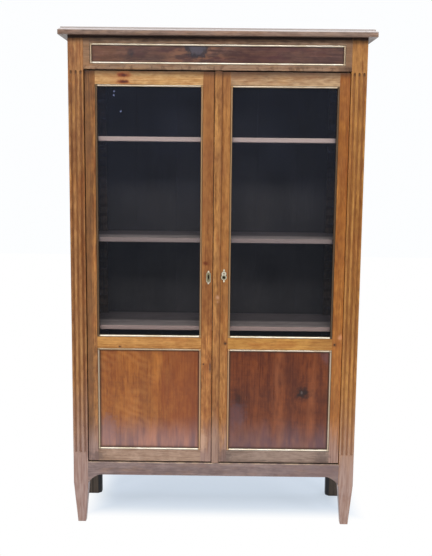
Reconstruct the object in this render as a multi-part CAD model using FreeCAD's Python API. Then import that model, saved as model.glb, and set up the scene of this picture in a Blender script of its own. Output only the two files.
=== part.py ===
import FreeCAD, Part
import os

Vector = FreeCAD.Vector

# Bookcase with two glazed doors. Millimetres, X to the right, Y to the back, Z up.
# The origin is on the floor, under the middle of the whole bookcase.

# Overall sizes
overall_height = 2000.0
body_width = 1154.0
body_depth = 352.0

# Eased arrises of the posts and the doors
arris_round = 1.5

# Cornice: fascia, ovolo and a thin strip on top, with a board let in behind
cornice_overhang = 32.0
cornice_height = 29.0
cornice_fascia_height = 17.0
cornice_step = 1.5
cornice_ovolo_depth = 8.0
cornice_ovolo_height = 6.5
cornice_seat_width = 45.0
top_board_thickness = 14.0
top_board_ledge = 14.0

# Front posts with stopped flutes and tapered feet
post_width = 60.0
post_depth = 60.0
foot_width = 32.0
foot_height = 175.0
flute_count = 3
flute_width = 9.5
flute_pitch = 18.5
flute_bottom = 303.0
flute_top_margin = 131.0

# Rear posts, chamfered below the carcase and rebated for the back boards
rear_post_width = 70.0
rear_post_depth = 42.0
rear_post_chamfer = 14.0
rear_chamfer_margin = 6.0

# Tenons of the carcase rails
carcase_tenon_length = 22.0
carcase_tenon_thickness = 12.0
carcase_tenon_shoulder = 12.0
frieze_tenon_shoulder = 4.0

# Frieze above the doors
frieze_height = 126.0
frieze_top_rail_height = 28.0
frieze_bottom_rail_height = 21.0
frieze_stile_width = 25.0
frieze_panel_recess = 6.0
frieze_panel_thickness = 8.0
frieze_fillet_width = 7.5

# Front bottom rail with hollowed brackets at its ends
bottom_rail_top = 264.6
bottom_rail_height = 54.3
bottom_rail_thickness = 34.0
bottom_rail_round = 3.0
bracket_width = 46.0
bracket_height = 36.0
bracket_hollow = 5.0

# Framed sides
side_rail_thickness = 22.0
side_rail_recess = 3.0
side_top_rail_height = 110.0
side_middle_rail_height = 64.0
side_bottom_rail_height = 80.0

# Panels, in grooves all round
panel_thickness = 10.0
panel_groove = 8.0
panel_play = 1.0

# Back
back_board_count = 6
back_board_thickness = 10.0
back_board_lap = 12.0
back_board_chamfer = 1.5
back_rail_thickness = 22.0
back_top_rail_height = 96.0

# Bottom board and the bearers under it
bottom_board_thickness = 18.0
bottom_board_rise = 10.4
bearer_size = 22.0

# Doors
door_recess = 6.0
door_thickness = 24.0
door_side_gap = 2.5
door_top_gap = 4.5
door_bottom_gap = 4.4
leaf_gap = 2.0
meeting_line = -10.0
hinge_stile_width = 40.5
left_lock_stile_width = 43.4
right_lock_stile_width = 61.4
door_top_rail_height = 51.5
door_middle_rail_height = 46.6
door_middle_rail_top = 791.6
door_bottom_rail_height = 49.5
door_tenon_length = 24.0
door_tenon_thickness = 8.0
door_tenon_shoulder = 12.5

# Glass, its rebate and the brass fillets
glass_recess = 8.0
glass_thickness = 3.0
glazing_rebate = 8.0
glass_play = 1.0
panel_recess = 7.0
door_fillet_width = 8.0
fillet_proud = 1.0

# Battens that the doors close on
stop_clearance = 0.3
stop_inset = 37.0
top_stop_drop = 20.0
top_stop_thickness = 20.0

# Notched racks, cleats and shelves
rack_inner_gap = 45.0
rack_thickness = 20.0
rack_edge_gap = 2.0
rack_top_gap = 3.0
rack_step_pitch = 40.0
rack_first_step = 37.5
rack_notch_depth = 8.0
rack_notch_slope = 15.0
cleat_width = 28.0
cleat_height = 20.0
cleat_play = 0.5
cleat_inset = 2.0
shelf_thickness = 18.5
shelf_edge_round = 3.0
shelf_setback = 48.0
shelf_back_gap = 6.0
shelf_play = 4.0
middle_shelf_share = 0.36
upper_shelf_share = 0.76

# Pivot hinges at the head and foot of each hinge stile
pivot_inset = 10.0
pivot_setback = 6.0
pivot_radius = 3.0
pivot_play = 0.05
pivot_depth = 9.0
pivot_plate_length = 36.0
pivot_plate_width = 8.0
pivot_plate_thickness = 2.5
pivot_plate_end = 8.0
pivot_sleeve_wall = 1.5
pivot_sleeve_end = 1.5
pivot_collar_gap = 0.3

# Closing strip on the right door
strip_width = 29.5
strip_thickness = 7.0
strip_edge_round = 1.5
strip_face_round = 5.0
strip_end_gap = 2.0

# Keyhole plates, sunk inside a raised rim
plate_thickness = 2.4
plate_rim = 2.4
plate_sunk = 1.0
keyhole_radius = 3.2
keyhole_slot_width = 2.8
left_plate_x = -27.5
left_plate_z = 1037.5
left_plate_width = 18.0
left_plate_height = 43.0
left_bead_reach = 2.0
left_slot_length = 12.0
left_keyhole_depth = 10.0
right_plate_x = 34.3
right_plate_z = 1045.9
right_plate_lower_radius = 11.0
right_plate_upper_radius = 9.5
right_plate_lobe_spacing = 14.4
right_plate_hole_width = 5.0
right_plate_hole_height = 6.6
right_bead_reach = 5.0
right_slot_length = 6.0
plate_bead_radius = 4.0
plate_neck_width = 4.0

# Lock on the back of the right door, and its keeper on the left door
lock_width = 50.0
lock_height = 80.0
lock_thickness = 11.0
lock_wall = 2.0
lock_edge_gap = 2.0
lock_bolt_length = 34.0
lock_bolt_height = 14.0
lock_bolt_thickness = 5.0
lock_bolt_play = 0.3
lock_bolt_travel = 13.0
keeper_width = 22.0
keeper_height = 46.0
keeper_play = 1.0

# Surface bolts on the back of the left door
bolt_radius = 4.0
bolt_length = 110.0
bolt_travel = 12.0
bolt_end_gap = 2.0
bolt_axis_setback = 10.0
bolt_edge_inset = 22.0
bolt_plate_width = 22.0
bolt_plate_thickness = 2.5
bolt_plate_margin = 10.0
bolt_guide_width = 13.0
bolt_guide_height = 10.0
bolt_guide_wall = 2.0
bolt_play = 0.05
bolt_hole_play = 0.6
bolt_knob_radius = 3.5
bolt_knob_length = 8.0

# Pegs through the middle rail joints of the right door
peg_radius = 3.0
peg_depth = 18.0
peg_proud = 0.4
peg_play = 0.05
peg_inset = 10.0

# Countersunk wood screws
screw_head_radius = 2.8
screw_head_depth = 1.8
screw_radius = 1.4
screw_length = 9.0
lock_screw_length = 18.0
lock_screw_inset = 6.0
rack_screw_bite = 20.0
rack_screw_count = 3

# One overrun for every cut that has to pass right through, and how near two places count as one
overrun = 5.0
same_place = 0.05

# Planes and levels that several pieces share
half_width = body_width / 2
front_y = (cornice_overhang - body_depth) / 2
back_y = front_y + body_depth
post_top = overall_height - cornice_height
post_inner_x = half_width - post_width
post_back_y = front_y + post_depth
rear_inner_x = half_width - rear_post_width
rear_front_y = back_y - rear_post_depth
frieze_bottom = post_top - frieze_height
bottom_rail_bottom = bottom_rail_top - bottom_rail_height
bottom_rail_back_y = front_y + bottom_rail_thickness
door_front_y = front_y + door_recess
door_back_y = door_front_y + door_thickness
door_top = frieze_bottom - door_top_gap
door_bottom = bottom_rail_top + door_bottom_gap
hinge_edge_x = post_inner_x - door_side_gap
stop_front_y = door_back_y + stop_clearance
board_top = bottom_rail_top + bottom_board_rise
board_bottom = board_top - bottom_board_thickness
back_inner_y = back_y - back_board_thickness
back_rail_front_y = back_inner_y - back_rail_thickness
top_board_bottom = overall_height - top_board_thickness
glass_front_y = door_front_y + glass_recess
glass_back_y = glass_front_y + glass_thickness
panel_front_y = door_front_y + panel_recess
rack_inner_x = post_inner_x - rack_inner_gap
rack_front_y = post_back_y - rack_thickness - rack_edge_gap
rack_rear_y = rear_front_y + rack_edge_gap + rack_thickness
stop_half_length = post_inner_x - stop_inset
top_stop_bottom = frieze_bottom - top_stop_drop
rack_top = top_stop_bottom - rack_top_gap
pivot_x = hinge_edge_x - pivot_inset
pivot_y = door_front_y + pivot_setback
lock_z = left_plate_z
bolt_y = door_back_y + bolt_axis_setback


def box(x0, x1, y0, y1, z0, z1):
    """Board between two opposite corners."""
    return Part.makeBox(x1 - x0, y1 - y0, z1 - z0, Vector(x0, y0, z0))


def rod(radius, start, along):
    """Round bar from a point, along a vector."""
    return Part.makeCylinder(radius, along.Length, start, along)


def prism(points, along):
    """Straight-sided outline pushed along a vector."""
    outline = Part.makePolygon(points + points[:1])
    return Part.Face(outline).extrude(along)


def join(first, others):
    """One solid from pieces that grow out of each other."""
    return first.fuse(others).removeSplitter()


def flip(shape):
    """The same piece on the other side of the bookcase."""
    return shape.mirror(Vector(0, 0, 0), Vector(1, 0, 0))


def mirrored(shapes):
    """A list of pieces on the other side of the bookcase."""
    return [flip(shape) for shape in shapes]


def save(name, *shapes):
    """One file for a piece, or for a group of like pieces."""
    solids = [solid for shape in shapes for solid in shape.Solids]
    shape = solids[0] if len(solids) == 1 else Part.makeCompound(solids)
    shape.exportStep(os.path.join("parts", name + ".step"))


def eased(board, radius, sides, levels):
    """Board with its front edges rounded at the given sides, which stand, and levels, which lie."""
    face_y = board.BoundBox.YMin
    edges = []
    for edge in board.Edges:
        reach = edge.BoundBox
        middle = edge.CenterOfMass
        if reach.YMax > face_y + same_place:
            continue
        stands = reach.ZLength > reach.XLength
        place = middle.x if stands else middle.z
        if any(abs(place - wanted) < same_place for wanted in (sides if stands else levels)):
            edges.append(edge)
    return board.makeFillet(radius, edges)


def screw(start, along):
    """Countersunk wood screw with its head flush at the start."""
    neck = start + along * (screw_head_depth / along.Length)
    head = Part.makeCone(screw_head_radius, screw_radius, screw_head_depth, start, along)
    return join(head, [rod(screw_radius, neck, along - (neck - start))])


def cross_tenons(half_length, y0, y1, z0, z1, shoulder):
    """Tenons at both ends of a carcase rail that runs across the bookcase."""
    middle = (y0 + y1) / 2
    near = middle - carcase_tenon_thickness / 2
    far = middle + carcase_tenon_thickness / 2
    right = box(half_length, half_length + carcase_tenon_length, near, far, z0 + shoulder, z1 - shoulder)
    return [right, flip(right)]


# Frieze

frieze_opening_x = post_inner_x - frieze_stile_width
frieze_opening_bottom = frieze_bottom + frieze_bottom_rail_height
frieze_opening_top = post_top - frieze_top_rail_height
frieze_panel_y = front_y + frieze_panel_recess


def frieze_groove(depth):
    """Space of the frieze panel, reaching the given depth into its frame."""
    return box(
        -frieze_opening_x - depth, frieze_opening_x + depth,
        frieze_panel_y, frieze_panel_y + frieze_panel_thickness,
        frieze_opening_bottom - depth, frieze_opening_top + depth)


def frieze_tenons():
    """Tenons of the two frieze rails."""
    lower = cross_tenons(
        post_inner_x, front_y, stop_front_y, frieze_bottom, frieze_opening_bottom, frieze_tenon_shoulder)
    upper = cross_tenons(
        post_inner_x, front_y, stop_front_y, frieze_opening_top, post_top, frieze_tenon_shoulder)
    return lower + upper


def frieze_frame(plates, screws):
    """Two rails between the posts and two short stiles between the rails."""
    groove = frieze_groove(panel_groove)
    lower = box(-post_inner_x, post_inner_x, front_y, stop_front_y, frieze_bottom, frieze_opening_bottom)
    upper = box(-post_inner_x, post_inner_x, front_y, stop_front_y, frieze_opening_top, post_top)
    stile = box(
        frieze_opening_x, post_inner_x, front_y, stop_front_y, frieze_opening_bottom, frieze_opening_top)
    tenons = frieze_tenons()
    lower = eased(lower, arris_round, [], [frieze_bottom])
    lower = join(lower.cut(groove), tenons[:2]).cut(plates + screws)
    upper = join(upper.cut(groove), tenons[2:])
    stile = stile.cut(groove)
    return [lower, upper, stile, flip(stile)]


def fillet_frame(x0, x1, z0, z1, seat_y, width, crest_y):
    """Four mitred half-round brass strips lying inside an opening, on the face behind it."""
    radius = width / 2
    spring_y = crest_y + radius

    def strip(length):
        """One strip along X, with its outer edge on X and its round side to the front."""
        base = Part.makePolygon([
            Vector(0, spring_y, 0), Vector(0, seat_y, 0),
            Vector(0, seat_y, width), Vector(0, spring_y, width)])
        crown = Part.Arc(
            Vector(0, spring_y, width), Vector(0, crest_y, radius), Vector(0, spring_y, 0)).toShape()
        bar = Part.Face(Part.Wire(base.Edges + [crown])).extrude(Vector(length, 0, 0))
        mitre = prism([
            Vector(0, crest_y - overrun, 0), Vector(length, crest_y - overrun, 0),
            Vector(length - width, crest_y - overrun, width), Vector(width, crest_y - overrun, width)],
            Vector(0, seat_y - crest_y + overrun + overrun, 0))
        return bar.common(mitre)

    bottom = strip(x1 - x0)
    bottom.translate(Vector(x0, 0, z0))
    side = strip(z1 - z0)
    side.rotate(Vector(0, 0, 0), Vector(0, 1, 0), 90)
    side.translate(Vector(x0, 0, z1))
    top = bottom.mirror(Vector(0, 0, (z0 + z1) / 2), Vector(0, 0, 1))
    other = side.mirror(Vector((x0 + x1) / 2, 0, 0), Vector(1, 0, 0))
    return [bottom, top, side, other]


# Sides

side_outer_x = half_width - side_rail_recess
side_inner_x = side_outer_x - side_rail_thickness
side_panel_x = (side_outer_x + side_inner_x - panel_thickness) / 2
side_middle_rail_top = door_middle_rail_top + (side_middle_rail_height - door_middle_rail_height) / 2
side_rail_levels = [
    (bottom_rail_bottom, bottom_rail_bottom + side_bottom_rail_height),
    (side_middle_rail_top - side_middle_rail_height, side_middle_rail_top),
    (post_top - side_top_rail_height, post_top),
]
side_openings = [
    (side_rail_levels[0][1], side_rail_levels[1][0]),
    (side_rail_levels[1][1], side_rail_levels[2][0]),
]


def side_groove(level, depth):
    """Space of a right-hand side panel, reaching the given depth into its frame."""
    return box(
        side_panel_x, side_panel_x + panel_thickness,
        post_back_y - depth, rear_front_y + depth,
        level[0] - depth, level[1] + depth)


def side_tenons(level):
    """Front and rear tenons of a right-hand side rail."""
    middle = (side_inner_x + side_outer_x) / 2
    near = middle - carcase_tenon_thickness / 2
    far = middle + carcase_tenon_thickness / 2
    low = level[0] + carcase_tenon_shoulder
    high = level[1] - carcase_tenon_shoulder
    front = box(near, far, post_back_y - carcase_tenon_length, post_back_y, low, high)
    rear = box(near, far, rear_front_y, rear_front_y + carcase_tenon_length, low, high)
    return [front, rear]


def side_rails():
    """The three rails of the right-hand side."""
    grooves = [side_groove(level, panel_groove) for level in side_openings]
    rails = []
    for level in side_rail_levels:
        rail = box(side_inner_x, side_outer_x, post_back_y, rear_front_y, level[0], level[1])
        rails.append(join(rail.cut(grooves), side_tenons(level)))
    return rails


def side_cuts():
    """Mortises and grooves that the right-hand posts have for the side."""
    grooves = [side_groove(level, panel_groove) for level in side_openings]
    mortises = [tenon for level in side_rail_levels for tenon in side_tenons(level)]
    return grooves + mortises


# Posts


def eased_square(x, y, width, depth, z):
    """Level outline round a centre, with eased corners."""
    half_x = width / 2 - arris_round
    half_y = depth / 2 - arris_round
    corners = [
        Vector(x - half_x, y - half_y, z), Vector(x + half_x, y - half_y, z),
        Vector(x + half_x, y + half_y, z), Vector(x - half_x, y + half_y, z)]
    return Part.makePolygon(corners + corners[:1]).makeOffset2D(arris_round)


def flutes():
    """Round-ended cutters for the flutes of the right-hand post."""
    radius = flute_width / 2
    middle_x = half_width - post_width / 2
    low = flute_bottom + radius
    high = post_top - flute_top_margin - radius
    cutters = []
    for number in range(flute_count):
        x = middle_x + (number - (flute_count - 1) / 2) * flute_pitch
        shaft = rod(radius, Vector(x, front_y, low), Vector(0, 0, high - low))
        ends = [Part.makeSphere(radius, Vector(x, front_y, z)) for z in (low, high)]
        cutters.append(shaft.fuse(ends))
    return cutters


def front_post(screws):
    """Right-hand front post: square, fluted on its face, on a tapered foot."""
    middle_x = half_width - post_width / 2
    middle_y = front_y + post_depth / 2
    shoulder = eased_square(middle_x, middle_y, post_width, post_depth, foot_height)
    shaft = Part.Face(shoulder).extrude(Vector(0, 0, post_top - foot_height))
    foot = Part.makeLoft([eased_square(middle_x, middle_y, foot_width, foot_width, 0), shoulder], True, True)
    mortises = frieze_tenons() + bottom_rail_tenons()
    return join(shaft, [foot]).cut(flutes() + mortises + side_cuts() + screws)


def rear_post(screws):
    """Right-hand rear post, straight to the floor."""
    post = box(rear_inner_x, half_width, rear_front_y, back_y, 0, post_top)
    rebate = box(
        rear_inner_x - overrun, rear_inner_x + back_board_lap, back_inner_y, back_y + overrun,
        bottom_rail_bottom, post_top + overrun)
    chamfer = prism([
        Vector(rear_inner_x, rear_front_y, 0),
        Vector(rear_inner_x + rear_post_chamfer, rear_front_y, 0),
        Vector(rear_inner_x, rear_front_y + rear_post_chamfer, 0)],
        Vector(0, 0, bottom_rail_bottom - rear_chamfer_margin))
    return post.cut([rebate, chamfer] + back_rail_tenons() + side_cuts() + screws)


# Front bottom rail, bottom board and back


def bottom_rail_tenons():
    """Tenons of the front bottom rail."""
    return cross_tenons(
        post_inner_x, front_y, bottom_rail_back_y, bottom_rail_bottom, bottom_rail_top,
        carcase_tenon_shoulder)


def front_bottom_rail(plates, screws):
    """Rail under the doors, with a hollow bracket at each end."""
    corner = Vector(post_inner_x, front_y, bottom_rail_bottom)
    start = corner - Vector(bracket_width, 0, 0)
    end = corner - Vector(0, 0, bracket_height)
    middle = (start + end) * 0.5
    middle += (corner - middle) * (bracket_hollow / middle.distanceToPoint(corner))
    curve = Part.Arc(start, middle, end).toShape()
    outline = Part.Wire([curve] + Part.makePolygon([end, corner, start]).Edges)
    bracket = Part.Face(outline).extrude(Vector(0, bottom_rail_thickness, 0))
    rail = box(-post_inner_x, post_inner_x, front_y, bottom_rail_back_y, bottom_rail_bottom, bottom_rail_top)
    rail = eased(rail, bottom_rail_round, [], [bottom_rail_top])
    return join(rail, [bracket, flip(bracket)] + bottom_rail_tenons()).cut(plates + screws)


def bottom_board(bore):
    """Floor of the bookcase, notched round the four posts."""
    board = box(-side_inner_x, side_inner_x, bottom_rail_back_y, back_inner_y, board_bottom, board_top)
    front_notch = box(
        post_inner_x, half_width, bottom_rail_back_y - overrun, post_back_y,
        board_bottom - overrun, board_top + overrun)
    rear_notch = box(
        rear_inner_x, half_width, rear_front_y, back_y,
        board_bottom - overrun, board_top + overrun)
    return board.cut([front_notch, flip(front_notch), rear_notch, flip(rear_notch), bore])


def bottom_bearers():
    """Strips under the front and side edges of the bottom board."""
    front = box(
        -post_inner_x, post_inner_x, bottom_rail_back_y, bottom_rail_back_y + bearer_size,
        board_bottom - bearer_size, board_bottom)
    side = box(
        side_inner_x - bearer_size, side_inner_x, post_back_y, rear_front_y,
        board_bottom - bearer_size, board_bottom)
    return [front, side, flip(side)]


back_rail_levels = [
    (bottom_rail_bottom, board_bottom),
    (top_board_bottom - back_top_rail_height, top_board_bottom),
]


def back_rail_tenons():
    """Tenons of the two back rails; the upper pair stays below the post tops."""
    lower = back_rail_levels[0]
    upper = back_rail_levels[1]
    return cross_tenons(
        rear_inner_x, back_rail_front_y, back_inner_y, lower[0], lower[1], carcase_tenon_shoulder
    ) + cross_tenons(
        rear_inner_x, back_rail_front_y, back_inner_y, upper[0],
        min(upper[1], post_top), carcase_tenon_shoulder)


def back_rails():
    """Rails that carry the back boards at the foot and the head."""
    tenons = back_rail_tenons()
    rails = []
    for number, level in enumerate(back_rail_levels):
        rail = box(-rear_inner_x, rear_inner_x, back_rail_front_y, back_inner_y, level[0], level[1])
        rails.append(join(rail, tenons[2 * number:2 * number + 2]))
    return rails


def back_boards():
    """Upright boards side by side in the rebates of the rear posts, with chamfered edges."""
    reach = rear_inner_x + back_board_lap
    width = 2 * reach / back_board_count
    boards = []
    for number in range(back_board_count):
        x0 = -reach + number * width
        board = box(x0, x0 + width, back_inner_y, back_y, bottom_rail_bottom, top_board_bottom)
        arrises = [
            edge for edge in board.Edges
            if edge.BoundBox.YMin > back_inner_y + back_board_thickness / 2
            and edge.BoundBox.ZLength > edge.BoundBox.XLength]
        boards.append(board.makeChamfer(back_board_chamfer, arrises))
    return boards


# Cornice

cornice_x = half_width + cornice_overhang
cornice_y = front_y - cornice_overhang
cornice_width = cornice_overhang + cornice_seat_width


def cornice_profile(place):
    """Section of the moulding; place turns a distance behind its face and a height into a point."""
    fascia_top = post_top + cornice_fascia_height
    ovolo_top = fascia_top + cornice_ovolo_height
    strip_face = cornice_step + cornice_ovolo_depth
    bulge = 1 - 0.5 ** 0.5
    ledge = cornice_width - top_board_ledge
    corners = [
        place(strip_face, ovolo_top), place(strip_face, overall_height),
        place(ledge, overall_height), place(ledge, top_board_bottom),
        place(cornice_width, top_board_bottom), place(cornice_width, post_top), place(0, post_top),
        place(0, fascia_top), place(cornice_step, fascia_top)]
    middle = place(
        cornice_step + cornice_ovolo_depth * bulge, fascia_top + cornice_ovolo_height * (1 - bulge))
    ovolo = Part.Arc(corners[-1], middle, corners[0]).toShape()
    return Part.Face(Part.Wire(Part.makePolygon(corners).Edges + [ovolo]))


def cornice_front():
    """Front moulding, mitred at both ends."""
    profile = cornice_profile(lambda behind, z: Vector(-cornice_x, cornice_y + behind, z))
    bar = profile.extrude(Vector(2 * cornice_x, 0, 0))
    mitre = prism([
        Vector(-cornice_x, cornice_y, post_top), Vector(cornice_x, cornice_y, post_top),
        Vector(cornice_x - cornice_width, cornice_y + cornice_width, post_top),
        Vector(cornice_width - cornice_x, cornice_y + cornice_width, post_top)], Vector(0, 0, cornice_height))
    return bar.common(mitre)


def cornice_return():
    """Right-hand moulding, mitred at the front and square at the back."""
    profile = cornice_profile(lambda behind, z: Vector(cornice_x - behind, cornice_y, z))
    bar = profile.extrude(Vector(0, back_y - cornice_y, 0))
    mitre = prism([
        Vector(cornice_x, cornice_y, post_top), Vector(cornice_x, back_y, post_top),
        Vector(cornice_x - cornice_width, back_y, post_top),
        Vector(cornice_x - cornice_width, cornice_y + cornice_width, post_top)], Vector(0, 0, cornice_height))
    return bar.common(mitre)


def top_board():
    """Board let into the back of the cornice, flush with its top."""
    reach = cornice_x - cornice_width + top_board_ledge
    front = cornice_y + cornice_width - top_board_ledge
    return box(-reach, reach, front, back_y, top_board_bottom, overall_height)


# Door stops, racks, cleats and shelves


def door_stops(bore):
    """Batten behind the frieze and lath on the edge of the bottom board."""
    top = box(
        -stop_half_length, stop_half_length, stop_front_y, stop_front_y + top_stop_thickness,
        top_stop_bottom, frieze_opening_bottom)
    bottom = box(
        -stop_half_length, stop_half_length, stop_front_y, bottom_rail_back_y, bottom_rail_top, board_top)
    return [top.cut(bore), bottom]


def rack_step(number):
    """Level of one step of the racks."""
    return board_top + rack_first_step + number * rack_step_pitch


# The lower shelf lies level with the doors' middle rails, and the others share the steps above it.
rack_step_count = int((rack_top - rack_step(0)) / rack_step_pitch)
lower_shelf_step = round((door_middle_rail_top - rack_step(0)) / rack_step_pitch)
upper_step_count = rack_step_count - lower_shelf_step
middle_shelf_step = lower_shelf_step + round(middle_shelf_share * upper_step_count)
upper_shelf_step = lower_shelf_step + round(upper_shelf_share * upper_step_count)


def rack_outline(face_y, back_face_y, inwards):
    """Outline of a rack seen from the side: its notched face is at face_y."""
    notch_y = face_y + inwards * rack_notch_depth
    notch_height = cleat_height + cleat_play
    points = [Vector(0, back_face_y, board_top), Vector(0, face_y, board_top)]
    for number in range(rack_step_count):
        z = rack_step(number)
        points.append(Vector(0, face_y, z))
        points.append(Vector(0, notch_y, z))
        points.append(Vector(0, notch_y, z + notch_height))
        points.append(Vector(0, face_y, z + notch_height + rack_notch_slope))
    return points + [Vector(0, face_y, rack_top), Vector(0, back_face_y, rack_top)]


rack_front_face_y = rack_front_y + rack_thickness
rack_rear_face_y = rack_rear_y - rack_thickness


def shelf_racks(screws):
    """Notched uprights on the inner faces of the four posts."""
    front_outline = rack_outline(rack_front_face_y, rack_front_y, -1)
    rear_outline = rack_outline(rack_rear_face_y, rack_rear_y, 1)
    front = prism(front_outline, Vector(post_inner_x - rack_inner_x, 0, 0))
    rear = prism(rear_outline, Vector(rear_inner_x - rack_inner_x, 0, 0))
    front.translate(Vector(rack_inner_x, 0, 0))
    rear.translate(Vector(rack_inner_x, 0, 0))
    front = front.cut(screws)
    rear = rear.cut(screws)
    return [front, rear, flip(front), flip(rear)]


def rack_screws():
    """Screws through the right-hand racks into the posts, clear of the notches."""
    screws = []
    spacing = (rack_top - board_top) / rack_screw_count
    wood = (rack_thickness - rack_notch_depth) / 2
    for number in range(rack_screw_count):
        z = board_top + spacing * (number + 0.5)
        for y, reach in ((rack_front_y + wood, post_inner_x), (rack_rear_y - wood, rear_inner_x)):
            length = reach - rack_inner_x + rack_screw_bite
            screws.append(screw(Vector(rack_inner_x, y, z), Vector(length, 0, 0)))
    return screws


def shelf_cleats():
    """Cleats that lie in the notches, one under each end of each shelf."""
    y0 = rack_front_face_y - rack_notch_depth + cleat_play
    y1 = rack_rear_face_y + rack_notch_depth - cleat_play
    x0 = rack_inner_x + cleat_inset
    cleats = []
    for step in (lower_shelf_step, middle_shelf_step, upper_shelf_step):
        z = rack_step(step)
        right = box(x0, x0 + cleat_width, y0, y1, z, z + cleat_height)
        cleats += [right, flip(right)]
    return cleats


def shelf(step):
    """Shelf on its two cleats, with its corners cut out round the racks."""
    low = rack_step(step) + cleat_height
    high = low + shelf_thickness
    reach = rack_inner_x + cleat_inset + cleat_width
    front = front_y + shelf_setback
    back = back_inner_y - shelf_back_gap
    board = eased(box(-reach, reach, front, back, low, high), shelf_edge_round, [], [low, high])
    front_notch = box(
        rack_inner_x - shelf_play, reach + overrun, front - overrun, rack_front_face_y + shelf_play,
        low - overrun, high + overrun)
    rear_notch = box(
        rack_inner_x - shelf_play, reach + overrun, rack_rear_face_y - shelf_play, back + overrun,
        low - overrun, high + overrun)
    return board.cut([front_notch, flip(front_notch), rear_notch, flip(rear_notch)])


# Pivot hinges


def pivot_plate_box(z0, z1):
    """Flat plate of a right-hand pivot."""
    return box(
        pivot_x + pivot_plate_end - pivot_plate_length, pivot_x + pivot_plate_end,
        pivot_y - pivot_plate_width / 2, pivot_y + pivot_plate_width / 2, z0, z1)


def pivot_screws(z, length):
    """Two screws through a right-hand pivot plate or socket, from its face at z."""
    spacing = (pivot_plate_length - pivot_plate_end) / 3
    xs = [pivot_x - spacing * (number + 1) for number in range(2)]
    return [screw(Vector(x - pivot_radius, pivot_y, z), Vector(0, 0, length)) for x in xs]


def carcase_pivots():
    """Upper and lower right-hand plates with their pins."""
    foot = Vector(pivot_x, pivot_y, bottom_rail_top)
    head = Vector(pivot_x, pivot_y, frieze_bottom)
    collar = rod(pivot_radius + pivot_sleeve_wall, foot, Vector(0, 0, door_bottom_gap - pivot_collar_gap))
    lower = join(
        pivot_plate_box(bottom_rail_top - pivot_plate_thickness, bottom_rail_top),
        [collar, rod(pivot_radius, foot, Vector(0, 0, door_bottom_gap + pivot_depth))])
    upper = join(
        pivot_plate_box(frieze_bottom, frieze_bottom + pivot_plate_thickness),
        [rod(pivot_radius, head, Vector(0, 0, -door_top_gap - pivot_depth))])
    return [lower, upper]


def door_sockets():
    """Upper and lower right-hand sockets, without their bores."""
    sleeve = pivot_depth + pivot_play + pivot_sleeve_end
    radius = pivot_radius + pivot_sleeve_wall
    lower = join(
        pivot_plate_box(door_bottom, door_bottom + pivot_plate_thickness),
        [rod(radius, Vector(pivot_x, pivot_y, door_bottom), Vector(0, 0, sleeve))])
    upper = join(
        pivot_plate_box(door_top - pivot_plate_thickness, door_top),
        [rod(radius, Vector(pivot_x, pivot_y, door_top), Vector(0, 0, -sleeve))])
    return [lower, upper]


def pivot_bores():
    """Holes for the pins in the right-hand sockets."""
    radius = pivot_radius + pivot_play
    depth = pivot_depth + pivot_play
    lower = rod(radius, Vector(pivot_x, pivot_y, door_bottom), Vector(0, 0, depth))
    upper = rod(radius, Vector(pivot_x, pivot_y, door_top), Vector(0, 0, -depth))
    return [lower, upper]


# Doors, modelled with the hinge on the right

door_openings = [
    (door_middle_rail_top, door_top - door_top_rail_height),
    (door_bottom + door_bottom_rail_height, door_middle_rail_top - door_middle_rail_height),
]
door_rail_levels = {
    "top_rail": (door_openings[0][1], door_top),
    "middle_rail": (door_openings[1][1], door_openings[0][0]),
    "bottom_rail": (door_bottom, door_openings[1][0]),
}


def glass_space(x0, x1, margin, y0, y1):
    """Space of the glass opening, wider by a margin all round."""
    low, high = door_openings[0]
    return box(x0 - margin, x1 + margin, y0, y1, low - margin, high + margin)


def panel_space(x0, x1, margin):
    """Space of the lower panel, wider by a margin all round."""
    low, high = door_openings[1]
    return box(
        x0 - margin, x1 + margin, panel_front_y, panel_front_y + panel_thickness, low - margin, high + margin)


def door_tenons(x0, x1, level):
    """Tenons at both ends of a door rail."""
    near = (door_front_y + door_back_y - door_tenon_thickness) / 2
    far = near + door_tenon_thickness
    low = level[0] + door_tenon_shoulder
    high = level[1] - door_tenon_shoulder
    return [
        box(x0 - door_tenon_length, x0, near, far, low, high),
        box(x1, x1 + door_tenon_length, near, far, low, high)]


def glazing_beads(x0, x1):
    """Four wooden beads that hold the glass from behind."""
    low, high = door_openings[0]
    top = high + glazing_rebate
    bottom = low - glazing_rebate
    return [
        box(x0 - glazing_rebate, x0, glass_back_y, door_back_y, bottom, top),
        box(x1, x1 + glazing_rebate, glass_back_y, door_back_y, bottom, top),
        box(x0, x1, glass_back_y, door_back_y, bottom, low),
        box(x0, x1, glass_back_y, door_back_y, high, top)]


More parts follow.
